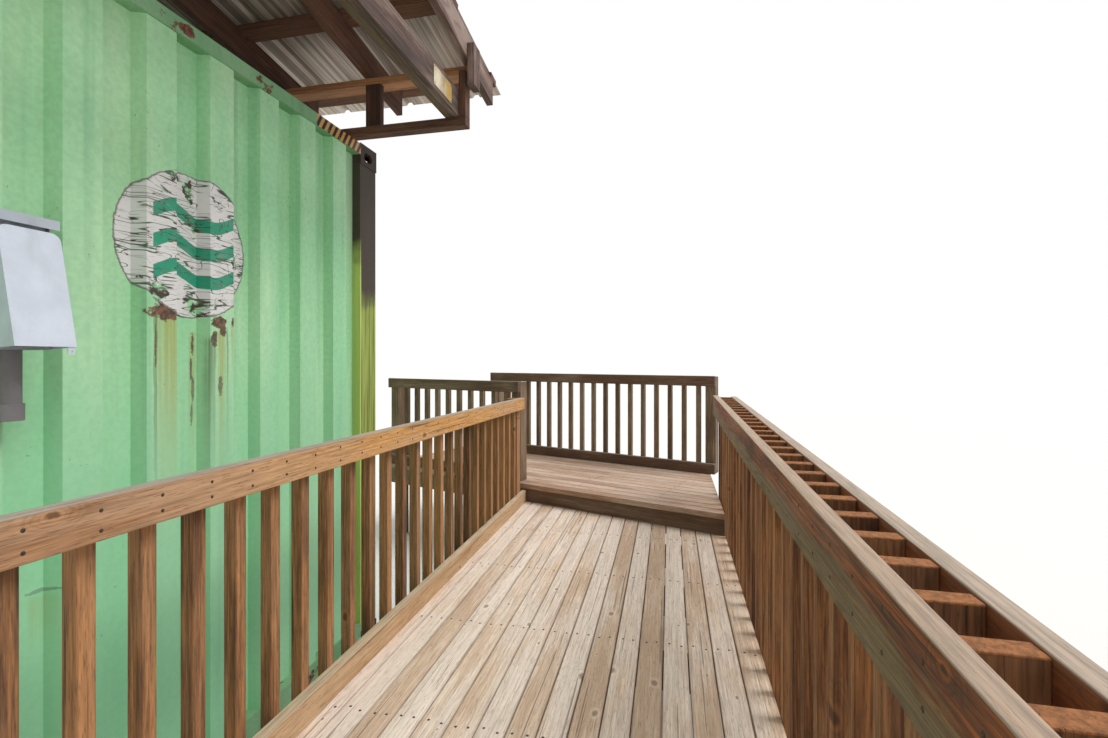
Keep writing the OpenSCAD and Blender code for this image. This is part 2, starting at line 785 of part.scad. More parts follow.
module landing_frame() {
    depth = landing_far - landing_nose - board_t;
    first = landing_w0(depth) + 2 * board_t;
    count = 5;
    step = (landing_w1 - board_t - first) / (count - 1);
    z0 = landing_z - board_t - plank_w;
    z1 = landing_z - board_t;
    color(dark_timber) on_landing() {
        box(1602, -board_t, z0, landing_w1, 0, z1);
        box(landing_w0(depth + board_t), -depth - board_t, z0, landing_w1, -depth, z1);
        for (i = [0 : count - 1]) let (w = first + i * step) box(w, -depth, z0, w + board_t, -board_t, z1);
        translate([0, 0, z0]) linear_extrude(plank_w) polygon([[landing_w0(board_t), -board_t],
            [landing_w0(board_t) + board_t, -board_t], [landing_w0(depth) + board_t, -depth],
            [landing_w0(depth), -depth]]);
    }
}

// Rails at the top and bottom with square balusters behind them and a post near each end
module square_railing(w0, w1, top) {
    n = floor((w1 - w0 - 2 * board_w - 60) / baluster_pitch);
    for (z = [top - board_w, landing_z]) box(w0, -board_t, z, w1, 0, z + board_w);
    for (i = [0 : n]) let (w = w0 + board_w + 45 + i * baluster_pitch)
        box(w, -2 * board_t, landing_z + 20, w + board_t, -board_t, top - 12);
    for (w = [w0, w1 - board_w])
        box(w, -board_t - board_w, landing_z, w + board_w, -board_t, top - 6);
}

module far_railing() {
    color(timber) on_landing() translate([0, -landing_d, 0])
        square_railing(far_w0, far_w1, far_rail_z);
}

module side_railing() {
    color(dark_timber) on_landing() square_railing(side_w0, landing_w1 - 20, side_rail_z);
}

in_place() front_wall();
in_place() left_wall();
in_place() right_wall();
in_place() roof_panel();
in_place() front_header();
in_place() front_sill();
in_place() front_posts();
in_place() rear_posts();
in_place() door_header();
in_place() door_sill();
in_place() top_rails();
in_place() bottom_rails();
in_place() top_castings();
in_place() bottom_castings();
in_place() crossmembers();
in_place() floor_boards();
in_place() left_door();
in_place() right_door();
in_place() lock_rods();
in_place() rod_brackets();
in_place() door_handles();
in_place() door_hinges();
in_place() canopy_bearers();
in_place() canopy_end_beam();
in_place() canopy_posts_left();
in_place() canopy_posts_right();
in_place() canopy_eave_plates();
in_place() canopy_rafters();
in_place() canopy_purlins();
in_place() canopy_fascia();
in_place() canopy_sheet();
in_place() outlet_box();
in_place() outlet_cover();
in_place() outlet_conduit();
in_place() deck_posts();
in_place() ramp_frame();
in_place() ramp_boards();
in_place() ramp_curb();
in_place() left_railing();
in_place() right_railing();
in_place() step_riser();
in_place() landing_frame();
in_place() landing_boards();
in_place() far_railing();
in_place() side_railing();
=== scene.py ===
import math
import random

import bmesh
import bpy
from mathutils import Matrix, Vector


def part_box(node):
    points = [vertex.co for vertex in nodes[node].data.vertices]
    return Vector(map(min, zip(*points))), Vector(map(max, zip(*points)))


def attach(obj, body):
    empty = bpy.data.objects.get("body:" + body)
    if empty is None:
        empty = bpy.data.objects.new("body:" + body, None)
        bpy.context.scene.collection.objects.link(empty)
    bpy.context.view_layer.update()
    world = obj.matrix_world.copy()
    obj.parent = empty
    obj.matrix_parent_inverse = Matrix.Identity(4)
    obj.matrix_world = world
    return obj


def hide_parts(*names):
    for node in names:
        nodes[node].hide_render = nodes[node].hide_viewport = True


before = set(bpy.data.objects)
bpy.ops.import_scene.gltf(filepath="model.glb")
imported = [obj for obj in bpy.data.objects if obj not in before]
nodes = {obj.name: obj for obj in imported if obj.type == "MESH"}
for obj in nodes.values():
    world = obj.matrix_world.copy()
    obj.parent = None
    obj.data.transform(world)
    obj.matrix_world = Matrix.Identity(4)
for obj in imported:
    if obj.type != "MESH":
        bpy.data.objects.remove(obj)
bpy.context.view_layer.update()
scene = bpy.context.scene

# Places are measured from the middle of the end wall's foot: X along the wall, Y into the container
WALL_IN = 0.008
wall_low, wall_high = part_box("front_wall")
ORIGIN = Vector(((wall_low.x + wall_high.x) / 2, wall_low.y - WALL_IN, 0))

# Boards, in metres
BOARD_T = 0.038
BOARD_W = 0.089
PLANK_W = 0.140
BALUSTER_PITCH = 0.130
PLAY = 0.0001

# Ramp: its deck runs up along X to the landing's skewed edge
RAMP_X = -1.300
STEP_X = 2.400
STEP_Z = 0.539
RAMP_SLOPE = math.radians(0.65)
RAMP_JOISTS = 6
JOIST_PITCH = 0.610
DECK_PITCH = 0.094
DECK_BOARDS = 16
LEFT_RAIL_Y = -0.600
DECK_Y1 = LEFT_RAIL_Y + BOARD_T
DECK_Y0 = DECK_Y1 - (DECK_BOARDS - 1) * DECK_PITCH - BOARD_W

# Each railing's top as two points (x, z), with its first baluster and where they end
LEFT_TOP = ((-0.970, 1.388), (2.290, 1.366))
LEFT_BALUSTERS = (RAMP_X + 0.115, 2.25)
RIGHT_TOP = ((-1.050, 1.318), (2.400, 1.400))
RIGHT_BALUSTERS = (RAMP_X + 0.030, 2.37)

# Landing: measured along its edge and away from the ramp, from the corner where they meet
CORNER = (1.893, -2.080)
SKEW = math.radians(19.3)
LANDING_Z = 0.677
LANDING_D = 1.115
LANDING_NOSE = 0.012
LANDING_BOARDS = 13
LANDING_JOISTS = 5
LANDING_JOIST_W = 0.526
LANDING_JOIST_PITCH = 0.6638
LANDING_RAILS = ((0.384, 2.831, LANDING_D, 1.523), (1.655, 3.180, 0.0, 1.488))  # w0, w1, d, top
POST_GAP = 0.045

# Roof
CANOPY_Y0 = -0.692
END_BEAM_Y = -0.634
EAVE_Z = 3.214
EAVE_X = 0.990
ROOF_SLOPE = math.radians(8)
PURLINS_X = (-1.345, -0.770, -0.257, 0.257, 0.770, 1.345)
RIB_PITCH = 0.2286
ROOF_RIBS = 56
ROOF_Y0 = -0.633
PLATE = (0.665, 0.865, 2.957, 3.050)  # x0, x1, z0, z1 on the end beam

# Cargo doors, with the gaps round them that their seals fill
DOOR_Y = 12.092
DOOR_LOW = 0.1665
DOOR_HIGH = 2.7775
DOOR_SIDE = 1.1065
MEETING_GAP = 0.0056
SILL_GAP = 0.007
JAMB_GAP = 0.012
SEAL_Y = (DOOR_Y - 0.046, DOOR_Y - 0.001)

# Nails and screws
NAILS_ACROSS = (0.022, 0.067)
NAIL = (0.0045, 0.0012)  # radius and height of a head, as for the next three
RAIL_SCREW = (0.0042, 0.001)
ROOF_SCREW = (0.0085, 0.005)
PLATE_PIN = (0.0035, 0.001)
HEAD_SUNK = 0.0005
LEFT_SCREWS = (0.024, 0.064)  # up from the rail's underside
RIGHT_SCREWS = (0.035, 0.100)
TOP_SCREWS = (0.065, 0.025)  # down from a landing rail's top
FOOT_SCREWS = (0.030, 0.062)  # up from the landing
BOARD_END = 0.03
BESIDE_RIB = 0.042
SHEET_HIGH = BOARD_T + 2 * PLAY + 0.0005
PLATE_T = 0.002
PLATE_NAIL = 0.008

# Mesh work
BOARD_BEVEL = 0.0025
WELD = 1e-5
FLAT = math.radians(0.5)
SHARP = math.radians(20)


def at(x, y, z):
    """A place measured from the end wall's foot, in the row frame."""
    return ORIGIN + Vector((x, y, z))


def deck_z(x):
    """How high the ramp's deck is."""
    return STEP_Z - (STEP_X - x) * math.tan(RAMP_SLOPE)


def top_z(line, x):
    """How high a railing's top is, on the line through two points."""
    (x0, z0), (x1, z1) = line
    return z0 + (z1 - z0) * (x - x0) / (x1 - x0)


def edge_x(y):
    """Where the ramp ends, at the landing's skewed edge."""
    return CORNER[0] + (y - CORNER[1]) * math.tan(SKEW)


def landing(w, d, z):
    """A place on the landing: w along its edge, d away from the ramp."""
    return at(CORNER[0] + w * math.sin(SKEW) + d * math.cos(SKEW),
              CORNER[1] + w * math.cos(SKEW) - d * math.sin(SKEW), z)


def rgb(red, green, blue):
    """An sRGB colour, 0 to 255, as the linear one that a shader takes."""
    def linear(value):
        value /= 255
        return value / 12.92 if value <= 0.04045 else ((value + 0.055) / 1.055) ** 2.4
    return (linear(red), linear(green), linear(blue), 1.0)


def scaled(colour, factor):
    """A darker or lighter colour."""
    return (*[min(1.0, c * factor) for c in colour[:3]], 1.0)


class Look:
    """A material, with short calls that add nodes. A value is a number, a tuple or a socket."""

    def __init__(self, name, rough, metal=0.0):
        self.material = bpy.data.materials.new(name)
        self.material.use_nodes = True
        self.tree = self.material.node_tree
        self.shader = self.tree.nodes["Principled BSDF"]
        self.shader.inputs["Roughness"].default_value = rough
        self.shader.inputs["Metallic"].default_value = metal

    def put(self, socket, value):
        if isinstance(value, bpy.types.NodeSocket):
            self.tree.links.new(value, socket)
        elif value is not None:
            socket.default_value = value

    def add(self, kind, values=(), **settings):
        node = self.tree.nodes.new("ShaderNode" + kind)
        for key, value in settings.items():
            setattr(node, key, value)
        for socket, value in zip(node.inputs, values):
            self.put(socket, value)
        return node

    def math(self, operation, *values):
        return self.add("Math", values, operation=operation).outputs[0]

    def vector(self, operation, *values):
        node = self.add("VectorMath", values, operation=operation)
        return node.outputs["Value" if operation == "LENGTH" else "Vector"]

    def ramp(self, value, start, end, first=0.0, last=1.0):
        """first up to start, last from end on, smooth between."""
        return self.add("MapRange", (value, start, end, first, last),
                        interpolation_type="SMOOTHSTEP").outputs[0]

    def mix(self, share, one, two, blend="MIX"):
        node = self.add("Mix", data_type="RGBA", blend_type=blend)
        for index, value in ((0, share), (6, one), (7, two)):
            self.put(node.inputs[index], value)
        return node.outputs[2]

    def noise(self, place, scale=1.0, detail=3.0, rough=0.5, stretch=None):
        if stretch:
            place = self.vector("MULTIPLY", place, stretch)
        node = self.add("TexNoise", noise_dimensions="3D")
        for key, value in (("Vector", place), ("Scale", scale), ("Detail", detail),
                           ("Roughness", rough)):
            self.put(node.inputs[key], value)
        return node.outputs["Fac"]

    def cells(self, place):
        node = self.add("TexVoronoi", voronoi_dimensions="2D")
        self.put(node.inputs["Vector"], place)
        self.put(node.inputs["Scale"], 1.0)
        return node.outputs

    def split(self, vector):
        return self.add("SeparateXYZ", (vector,)).outputs

    def place(self):
        """Where a point is, measured from the end wall's foot."""
        return self.vector("SUBTRACT", self.add("TexCoord").outputs["Object"], tuple(ORIGIN))

    def stored(self, name, output="Vector"):
        return self.add("Attribute", attribute_name=name).outputs[output]

    def speckle(self, colour, place, scale, amount):
        """Lightens and darkens a colour in fine grains."""
        tone = self.ramp(self.noise(place, scale, 2.0), 0.3, 0.7, 1 - amount, 1 + amount)
        return self.mix(1.0, colour, self.add("CombineColor", (tone, tone, tone)).outputs[0],
                        "MULTIPLY")

    def finish(self, colour, height=None, depth=0.001, strength=0.7):
        self.put(self.shader.inputs["Base Color"], colour)
        if height is not None:
            node = self.add("Bump")
            for key, value in (("Strength", strength), ("Distance", depth), ("Height", height)):
                self.put(node.inputs[key], value)
            self.put(self.shader.inputs["Normal"], node.outputs["Normal"])
        return self.material


WOOD_ROUGH = 0.85
WORN_EDGE = 0.3


class Timber(Look):
    """Weathered timber, laid down in layers: each one changes self.colour. The noises run along
    each board's own grain, and the ones that several layers share are made first."""

    def __init__(self, name, light, dark, rings, knots):
        super().__init__(name, WOOD_ROUGH)
        self.light, self.dark, self.rings = light, dark, rings
        self.grain, self.half = self.stored("grain"), self.stored("half")
        self.board = self.stored("board", "Fac")
        self.along, self.across, _ = self.split(self.grain)
        seed = self.add("CombineXYZ", (self.board, self.board, self.board)).outputs[0]
        self.spot = self.vector("MULTIPLY_ADD", seed, (91.0, 57.0, 73.0), self.grain)
        bulge, self.ring, self.knot = self.knots(knots)
        slow = self.grained(1.5, (0.5, 8.0, 8.0))
        slow = self.math("MULTIPLY_ADD", bulge, 0.2, slow)
        self.late = self.ramp(self.math("SINE", self.math("MULTIPLY", slow, 125.0)), 0.0, 1.0)
        self.fibre = self.grained(5.0, (5.0, 140.0, 140.0), 0.66)
        self.blotch = self.grained(4.0, (1.4, 7.0, 7.0), 0.6)
        self.check = self.ramp(self.grained(2.0, (1.3, 75.0, 75.0)), 0.66, 0.71)
        self.pits = self.ramp(self.grained(2.0, (26.0, 380.0, 380.0)), 0.58, 0.70)
        tone = self.math("MULTIPLY_ADD", self.fibre, 0.8, self.math("MULTIPLY", self.blotch, 0.7))
        self.tone = self.ramp(self.shifted(tone, self.board, 0.26), 0.50, 1.02)
        self.colour = self.mix(self.tone, dark, light)

    def grained(self, detail, stretch, rough=0.5):
        return self.noise(self.spot, detail=detail, rough=rough, stretch=stretch)

    def shifted(self, value, noise, amount):
        """A value moved up and down by a noise whose middle is 0.5."""
        return self.math("MULTIPLY_ADD", self.math("SUBTRACT", noise, 0.5), amount, value)

    def lay(self, share, colour):
        """Lays a colour over what is there, by a share from 0 to 1."""
        self.colour = self.mix(share, self.colour, colour)

    def lay_part(self, mask, amount, colour):
        self.lay(self.math("MULTIPLY", mask, amount), colour)

    def knots(self, share):
        """Knots along a board: the grain's bulge round each one, its pale ring, and its core."""
        ragged = self.math("MULTIPLY_ADD", self.noise(self.spot, 60.0), 0.10, -0.05)
        cell = self.cells(self.vector("MULTIPLY", self.spot, (6.0, 10.0, 0.0)))
        chance, size, _ = self.add("SeparateColor", (cell["Color"],)).outputs
        gate = self.math("LESS_THAN", chance, share)
        away = self.math("DIVIDE", self.math("ADD", cell["Distance"], ragged),
                         self.ramp(size, 0.0, 1.0, 0.35, 1.15))
        return [self.math("MULTIPLY", self.ramp(away, near, wide, 1.0, 0.0), gate)
                for near, wide in ((0.0, 0.55), (0.12, 0.24), (0.05, 0.13))]

    def rim(self):
        """How far a point is from its board's end, and from the nearest long edge or end."""
        away = self.split(self.vector("SUBTRACT", self.half, self.vector("ABSOLUTE", self.grain)))
        a, b, c = away[0], away[1], away[2]
        return a, self.math("MAXIMUM", self.math("MINIMUM", a, b),
                            self.math("MINIMUM", self.math("MAXIMUM", a, b), c))

    # Lighter, more orange towards +X: partly the wood's weathering, partly painted sunlight
    def lay_far_sunlit(self, far):
        share = self.shifted(self.along, self.blotch, 1.6)
        self.lay(self.ramp(share, -1.2, -0.3), self.mix(self.tone, scaled(far, 0.55), far))

    def lay_lower(self, lower):
        streaks = self.grained(4.0, (2.2, 24.0, 24.0), 0.7)
        share = self.shifted(self.across, streaks, 0.16)
        self.lay(self.ramp(share, -0.022, 0.012, 1.0, 0.0),
                 self.mix(self.tone, scaled(lower, 0.6), scaled(lower, 1.1)))

    def lay_grey(self, grey, weather):
        share = self.ramp(self.shifted(self.blotch, self.board, 0.2), 0.40, 0.62)
        silver = self.mix(self.ramp(self.fibre, 0.3, 0.7), scaled(grey, 0.72), scaled(grey, 1.12))
        self.lay_part(share, weather, silver)

    def lay_grain(self):
        """Late wood of the growth rings, checks, pits and knots."""
        self.lay_part(self.late, 0.32 * self.rings, scaled(self.dark, 0.55))
        self.lay_part(self.check, 0.6, scaled(self.dark, 0.3))
        self.lay_part(self.pits, 0.45, scaled(self.dark, 0.4))
        self.lay_part(self.ring, 0.22, scaled(self.light, 1.1))
        self.lay_part(self.knot, 0.75, scaled(self.dark, 0.4))

    def lay_edges(self, cut):
        """Worn dark edges, soaked ends, and ends that are freshly cut where a colour is given."""
        end, rim = self.rim()
        rim = self.math("MULTIPLY_ADD", self.blotch, 0.006, rim)
        self.lay_part(self.ramp(rim, 0.002, 0.010, 1.0, 0.0), WORN_EDGE, scaled(self.dark, 0.45))
        self.lay_part(self.ramp(end, 0.0, 0.07, 0.45, 0.0), self.ramp(self.blotch, 0.3, 0.6),
                      scaled(self.dark, 0.5))
        if cut:
            mottle = self.ramp(self.noise(self.spot, 90.0, 4.0, 0.7), 0.35, 0.65)
            self.lay(self.ramp(end, 0.002, 0.005, 1.0, 0.0), self.mix(mottle, scaled(cut, 0.5), cut))

    def lay_top(self, bleach):
        top = self.math("SUBTRACT", self.split(self.half)[1], self.across)
        top = self.shifted(top, self.fibre, 0.012)
        self.lay(self.ramp(top, 0.001, 0.005, 0.85, 0.0),
                 self.mix(self.ramp(self.fibre, 0.3, 0.7), scaled(bleach, 0.6), bleach))

    def relief(self):
        height = self.math("MULTIPLY_ADD", self.late, -0.12 * self.rings,
                           self.math("MULTIPLY", self.fibre, 0.7))
        height = self.math("MULTIPLY_ADD", self.pits, -0.4, height)
        return self.math("MULTIPLY_ADD", self.check, -1.2, height)


def wood(name, light, dark, grey, weather, rings, knots=0.12, bleach=None, lower=None, far=None,
         cut=None):
    """Weathered boards: fibres, growth rings, knots and checks along each one, and grey patches.
    bleach colours the upper edge, lower the lower half, far the half towards +X (partly weathering,
    partly painted sunlight), cut the ends."""
    look = Timber(name, light, dark, rings, knots)
    if far:
        look.lay_far_sunlit(far)
    if lower:
        look.lay_lower(lower)
    look.lay_grey(grey, weather)
    look.lay_grain()
    look.lay_edges(cut)
    if bleach:
        look.lay_top(bleach)
    return look.finish(look.colour, look.relief(), 0.0016, 0.8)


RUST_DARK = rgb(66, 44, 36)
RUST_LIGHT = rgb(132, 82, 64)
RUST_WASH = rgb(164, 164, 80)
RUST_RUN = rgb(88, 92, 44)


def rust_colour(look, place):
    """Dark and light rust in small patches."""
    return look.mix(look.ramp(look.noise(place, 70.0, 5.0, 0.7), 0.38, 0.62), RUST_DARK, RUST_LIGHT)


def spot_away(look, one, two, middle, size):
    """How far a place is from a spot's middle, as a share of its half width and height."""
    flat = [look.math("DIVIDE", look.math("SUBTRACT", value, centre), half)
            for value, centre, half in zip((one, two), middle, size)]
    return look.vector("LENGTH", look.add("CombineXYZ", (*flat, 0.0)).outputs[0])


def patch(look, place, x, z, across, tall):
    """A ragged blot on the wall, as a mask."""
    px, _, pz = look.split(place)
    away = spot_away(look, px, pz, (x, z), (across, tall))
    grit = look.noise(place, min(90.0, max(24.0, 0.9 / across)), 5.0, 0.7)
    return look.ramp(look.math("MULTIPLY_ADD", grit, 1.7, away), 1.45, 1.62, 1.0, 0.0)


def run(look, place, x, top, bottom, across, share):
    """A stain that runs down from a spot and fades, as a mask."""
    px, _, pz = look.split(place)
    wander = look.math("MULTIPLY_ADD", look.noise(place, 7.0, 3.0), 0.016, px)
    off = look.math("ABSOLUTE", look.math("SUBTRACT", wander, x + 0.008))
    mask = look.ramp(off, across * 0.35, across, share, 0.0)
    mask = look.math("MULTIPLY", mask, look.ramp(pz, bottom, top - 0.05, 0.0, 1.0))
    mask = look.math("MULTIPLY", mask, look.ramp(pz, top - 0.03, top, 1.0, 0.0))
    streaks = look.noise(place, detail=3.0, stretch=(90.0, 90.0, 1.6))
    return look.math("MULTIPLY", mask, look.ramp(streaks, 0.25, 0.6, 0.35, 1.0))


def joined(look, masks):
    """One mask from several."""
    total = masks[0]
    for mask in masks[1:]:
        total = look.math("MAXIMUM", total, mask)
    return total


def faded_paint(look, place, paint, faded, deep):
    """Paint with sun-faded areas, darker runs and paler streaks down it."""
    fade = look.ramp(look.noise(place, detail=4.0, stretch=(3.0, 3.0, 0.7)), 0.30, 0.72)
    colour = look.mix(fade, paint, faded)
    streak = look.noise(place, detail=4.0, stretch=(15.0, 15.0, 0.5))
    colour = look.mix(look.ramp(streak, 0.52, 0.82, 0.0, 0.4), colour, deep)
    pale = look.noise(place, detail=3.0, stretch=(9.0, 9.0, 0.9))
    colour = look.mix(look.ramp(pale, 0.55, 0.80, 0.0, 0.35), colour, scaled(faded, 1.15))
    return look.speckle(colour, place, 60.0, 0.05)


def rusted(look, place, rust, patches):
    """Where the steel is rusty: specks, spread by an amount, and chosen patches, as a mask."""
    specks = look.ramp(look.noise(place, 70.0, 3.0), 0.70, 0.74)
    where = look.ramp(look.noise(place, 2.3, 3.0), 0.50, 0.62)
    masks = [look.math("MULTIPLY", specks, where)]
    if rust > 0:
        spread = look.noise(place, 5.0, 7.0, 0.68)
        masks.append(look.ramp(spread, 0.74 - 0.35 * rust, 0.78 - 0.35 * rust))
    return joined(look, masks + [patch(look, place, *p) for p in patches])


def steel(name, paint, faded, deep, rust, rough=0.5, patches=(), washes=(), stains=(),
          extra=None):
    """Painted corrugated steel: faded and streaked, with rust specks and chosen rust marks.
    patches are (x, z, half width, half height); washes and stains (x, top, bottom, width, share).
    extra paints over it: it takes and gives back the colour and the height."""
    look = Look(name, rough)
    place = look.place()
    colour = faded_paint(look, place, paint, faded, deep)
    for runs, run_colour in ((washes, RUST_WASH), (stains, RUST_RUN)):
        if runs:
            mask = joined(look, [run(look, place, *one) for one in runs])
            colour = look.mix(mask, colour, run_colour)
    corrosion = rusted(look, place, rust, patches)
    colour = look.mix(corrosion, colour, rust_colour(look, place))
    height = look.math("MULTIPLY_ADD", corrosion, 0.6,
                       look.math("MULTIPLY", look.noise(place, 120.0, 2.0), 0.35))
    if extra:
        colour, height = extra(look, place, colour, height)
    look.put(look.shader.inputs["Roughness"], look.ramp(corrosion, 0.0, 1.0, rough, 0.9))
    return look.finish(colour, height, 0.0012, 0.6)


# The round film on the end wall, in metres
FILM_X, FILM_Z, FILM_R = 0.011, 2.086, 0.268
SUNLIT_MINT = rgb(156, 222, 180)
FILM = rgb(224, 222, 220)
FILM_GREEN = rgb(28, 150, 116)
FILM_STAIN = rgb(160, 156, 150)
FILM_CURL = rgb(122, 116, 110)
FILM_RIM_SHADOW = rgb(84, 78, 66)
CRACK_DARK = rgb(58, 54, 50)
# Torn places of the film, as shares of its radius: x, z, half width, half height
TEARS = ((0.02, 0.78, 0.09, 0.26), (0.12, 0.30, 0.10, 0.14), (0.10, -0.80, 0.16, 0.16),
         (-0.55, -0.72, 0.16, 0.12), (0.72, -0.10, 0.12, 0.20), (-0.30, 0.90, 0.20, 0.06))
# Cracks: how the noise that makes them is stretched and moved, and how thin and wide a line is
CRACKS = (((1.1, 8.0, 1.0), 0.0, 0.010, 0.024), ((1.7, 11.0, 1.0), 4.0, 0.006, 0.018),
          ((3.2, 3.6, 1.0), 9.0, 0.002, 0.008))


def waves(look, dx, dz):
    """Three plain wavy bands, as a mask over the disc's own coordinates."""
    level = look.math("MULTIPLY_ADD", look.math("SINE", look.math("MULTIPLY", dx, 6.0)), 0.09, dz)
    step = look.math("PINGPONG", look.math("ADD", level, 0.2), 0.2)
    band = look.ramp(step, 0.105, 0.115)
    for way, limit in ((level, 0.60), (dx, 0.62)):
        band = look.math("MULTIPLY", band, look.ramp(look.math("ABSOLUTE", way), limit, limit + 0.015,
                                                     1.0, 0.0))
    return band


def cracked(look, flat):
    """Fine broken lines where a noise passes its middle level, as a mask."""
    lines = []
    for stretch, shift, thin, wide in CRACKS:
        moved = look.vector("ADD", flat, (shift, shift, shift))
        level = look.math("SUBTRACT", look.noise(moved, detail=1.0, stretch=stretch), 0.5)
        line = look.ramp(look.math("ABSOLUTE", level), thin, wide, 1.0, 0.0)
        broken = look.ramp(look.noise(moved, 3.0, 3.0), 0.44, 0.50)
        lines.append(look.math("MULTIPLY", line, broken))
    return joined(look, lines)


def torn(look, flat, dx, dz):
    """Where the film is gone: more towards its rim and in the chosen places, as a mask."""
    level = look.math("MULTIPLY_ADD", look.vector("LENGTH", flat), 0.07,
                      look.noise(flat, 4.5, 6.0, 0.72))
    for x, z, across, tall in TEARS:
        away = spot_away(look, dx, dz, (x, z), (across, tall))
        level = look.math("ADD", level, look.ramp(away, 0.5, 1.4, 0.16, 0.0))
    return look.ramp(level, 0.675, 0.69)


def film_colour(look, flat, dx, dz, ragged):
    """The film's colour: waves, stains and curled places, with a dark rim that is a painted shadow
    round its edge.
    """
    film = look.mix(waves(look, dx, dz), FILM, FILM_GREEN)
    film = look.mix(look.ramp(look.noise(flat, 3.5, 5.0), 0.5, 0.8, 0.0, 0.35), film, FILM_STAIN)
    curl = look.ramp(look.noise(flat, 12.0, 4.0, stretch=(0.5, 2.0, 1.0)), 0.55, 0.7, 0.0, 0.3)
    film = look.mix(curl, film, FILM_CURL)
    # The dark rim is a painted shadow along the film's edge
    return look.mix(look.ramp(ragged, 1.005, 1.025, 0.0, 0.8), film, FILM_RIM_SHADOW)


def round_film(look, place, colour, height):
    """A cracked, peeling round film with plain green waves over the ribs, on paint that is painted
    lighter mint green towards the ground as painted sunlight."""
    px, _, pz = look.split(place)
    # Lighter mint green towards the ground is painted sunlight
    colour = look.mix(look.ramp(pz, 1.0, 2.0, 0.55, 0.0), colour, SUNLIT_MINT)
    dx = look.math("DIVIDE", look.math("SUBTRACT", px, FILM_X), FILM_R)
    dz = look.math("DIVIDE", look.math("SUBTRACT", pz, FILM_Z), FILM_R)
    flat = look.add("CombineXYZ", (dx, dz, 0.0)).outputs[0]
    ragged = look.math("MULTIPLY_ADD", look.noise(flat, 9.0, 5.0, 0.7), 0.07,
                       look.vector("LENGTH", flat))
    inside = look.ramp(ragged, 1.03, 1.04, 1.0, 0.0)
    crack = cracked(look, flat)
    gone = look.math("MAXIMUM", crack, torn(look, flat, dx, dz))
    film = film_colour(look, flat, dx, dz, ragged)
    bare = look.mix(look.ramp(look.noise(flat, 9.0, 3.0), 0.45, 0.6), colour, RUST_DARK)
    under = look.mix(look.math("MULTIPLY", crack, 0.85), bare, CRACK_DARK)
    thick = look.math("MULTIPLY", inside, look.math("SUBTRACT", 1.0, gone))
    height = look.math("MULTIPLY_ADD", thick, 1.2, height)
    return look.mix(inside, colour, look.mix(gone, film, under)), height


HAZARD_X = (0.68, 1.09)
HAZARD_Y = 0.002
HAZARD_PITCH = 0.043
HAZARD_LEAN = 0.56
HAZARD_DARK = rgb(34, 28, 22)
HAZARD_PALE = rgb(206, 152, 84)


def hazard(look, place, colour, height):
    """Worn slanting stripes on the near face of the header's end."""
    px, py, pz = look.split(place)
    slant = look.math("DIVIDE", look.math("MULTIPLY_ADD", pz, -HAZARD_LEAN, px), HAZARD_PITCH)
    stripe = look.ramp(look.math("PINGPONG", slant, 0.5), 0.22, 0.28)
    paint = look.mix(stripe, HAZARD_DARK, HAZARD_PALE)
    kept = look.ramp(look.noise(place, 40.0, 5.0, 0.7), 0.36, 0.42)
    for limit, way, side in ((HAZARD_X[0], px, "GREATER_THAN"), (HAZARD_X[1], px, "LESS_THAN"),
                             (HAZARD_Y, py, "LESS_THAN")):
        kept = look.math("MULTIPLY", kept, look.math(side, way, limit))
    return look.mix(kept, colour, paint), height


# The height of the post's painted shadow line: lit yellow-green paint below it, painted shade above it
POST_SHADE_Z = 2.02
LOWER_POST_FRONT_Y = 0.06
LOWER_POST_DARK = rgb(112, 124, 52)
LOWER_POST_PALE = rgb(172, 188, 96)
SUNLIT_FLANGE = rgb(206, 222, 128)
POST_BARE = rgb(62, 46, 34)
FLANGE_X = 1.066


def post_sun_and_shade(look, place, colour, height):
    """Painted sun and shade on the posts: below a line that follows the canopy's shadow they get
    streaked yellow-green paint; above it their dark brown base colours stand as painted shade.
    """
    px, py, pz = look.split(place)
    wander = look.math("MULTIPLY_ADD", look.noise(place, 6.0, 4.0), 0.30, pz)
    flange = look.ramp(look.math("ABSOLUTE", px), FLANGE_X, FLANGE_X + 0.004, 0.28, 0.0)
    # low is the lit part below the painted shadow line
    low = look.ramp(look.math("SUBTRACT", wander, flange), POST_SHADE_Z + 0.05, POST_SHADE_Z + 0.20, 1.0, 0.0)
    streaks = look.noise(place, detail=4.0, stretch=(60.0, 60.0, 1.2))
    lower_paint = look.mix(look.ramp(streaks, 0.35, 0.65), LOWER_POST_DARK, LOWER_POST_PALE)
    lower_paint = look.mix(look.ramp(streaks, 0.56, 0.66, 0.0, 0.8), lower_paint, POST_BARE)
    # The flange is painted lighter green as painted sunlight
    lower_paint = look.mix(look.ramp(flange, 0.0, 0.28, 0.0, 0.7), lower_paint, SUNLIT_FLANGE)
    front = look.math("LESS_THAN", py, LOWER_POST_FRONT_Y)
    return look.mix(look.math("MULTIPLY", low, front), colour, lower_paint), height


BEAD_PITCH = RIB_PITCH / 4
BEAD_SHADE = rgb(96, 84, 72)
ZINC_PALE = rgb(188, 189, 188)
ZINC_DULL = rgb(168, 170, 171)
ZINC_DIRT = rgb(150, 136, 120)


def upper_zinc(look, place):
    """The sun-bleached upper side of the roof sheet, with dirt drawn down the slope."""
    patches = look.ramp(look.noise(place, 7.0, 5.0, 0.6), 0.38, 0.62)
    dirt = look.noise(place, detail=4.0, stretch=(0.8, 14.0, 3.0))
    return look.mix(look.ramp(dirt, 0.52, 0.75, 0.0, 0.45), look.mix(patches, ZINC_PALE, ZINC_DULL),
                    ZINC_DIRT)


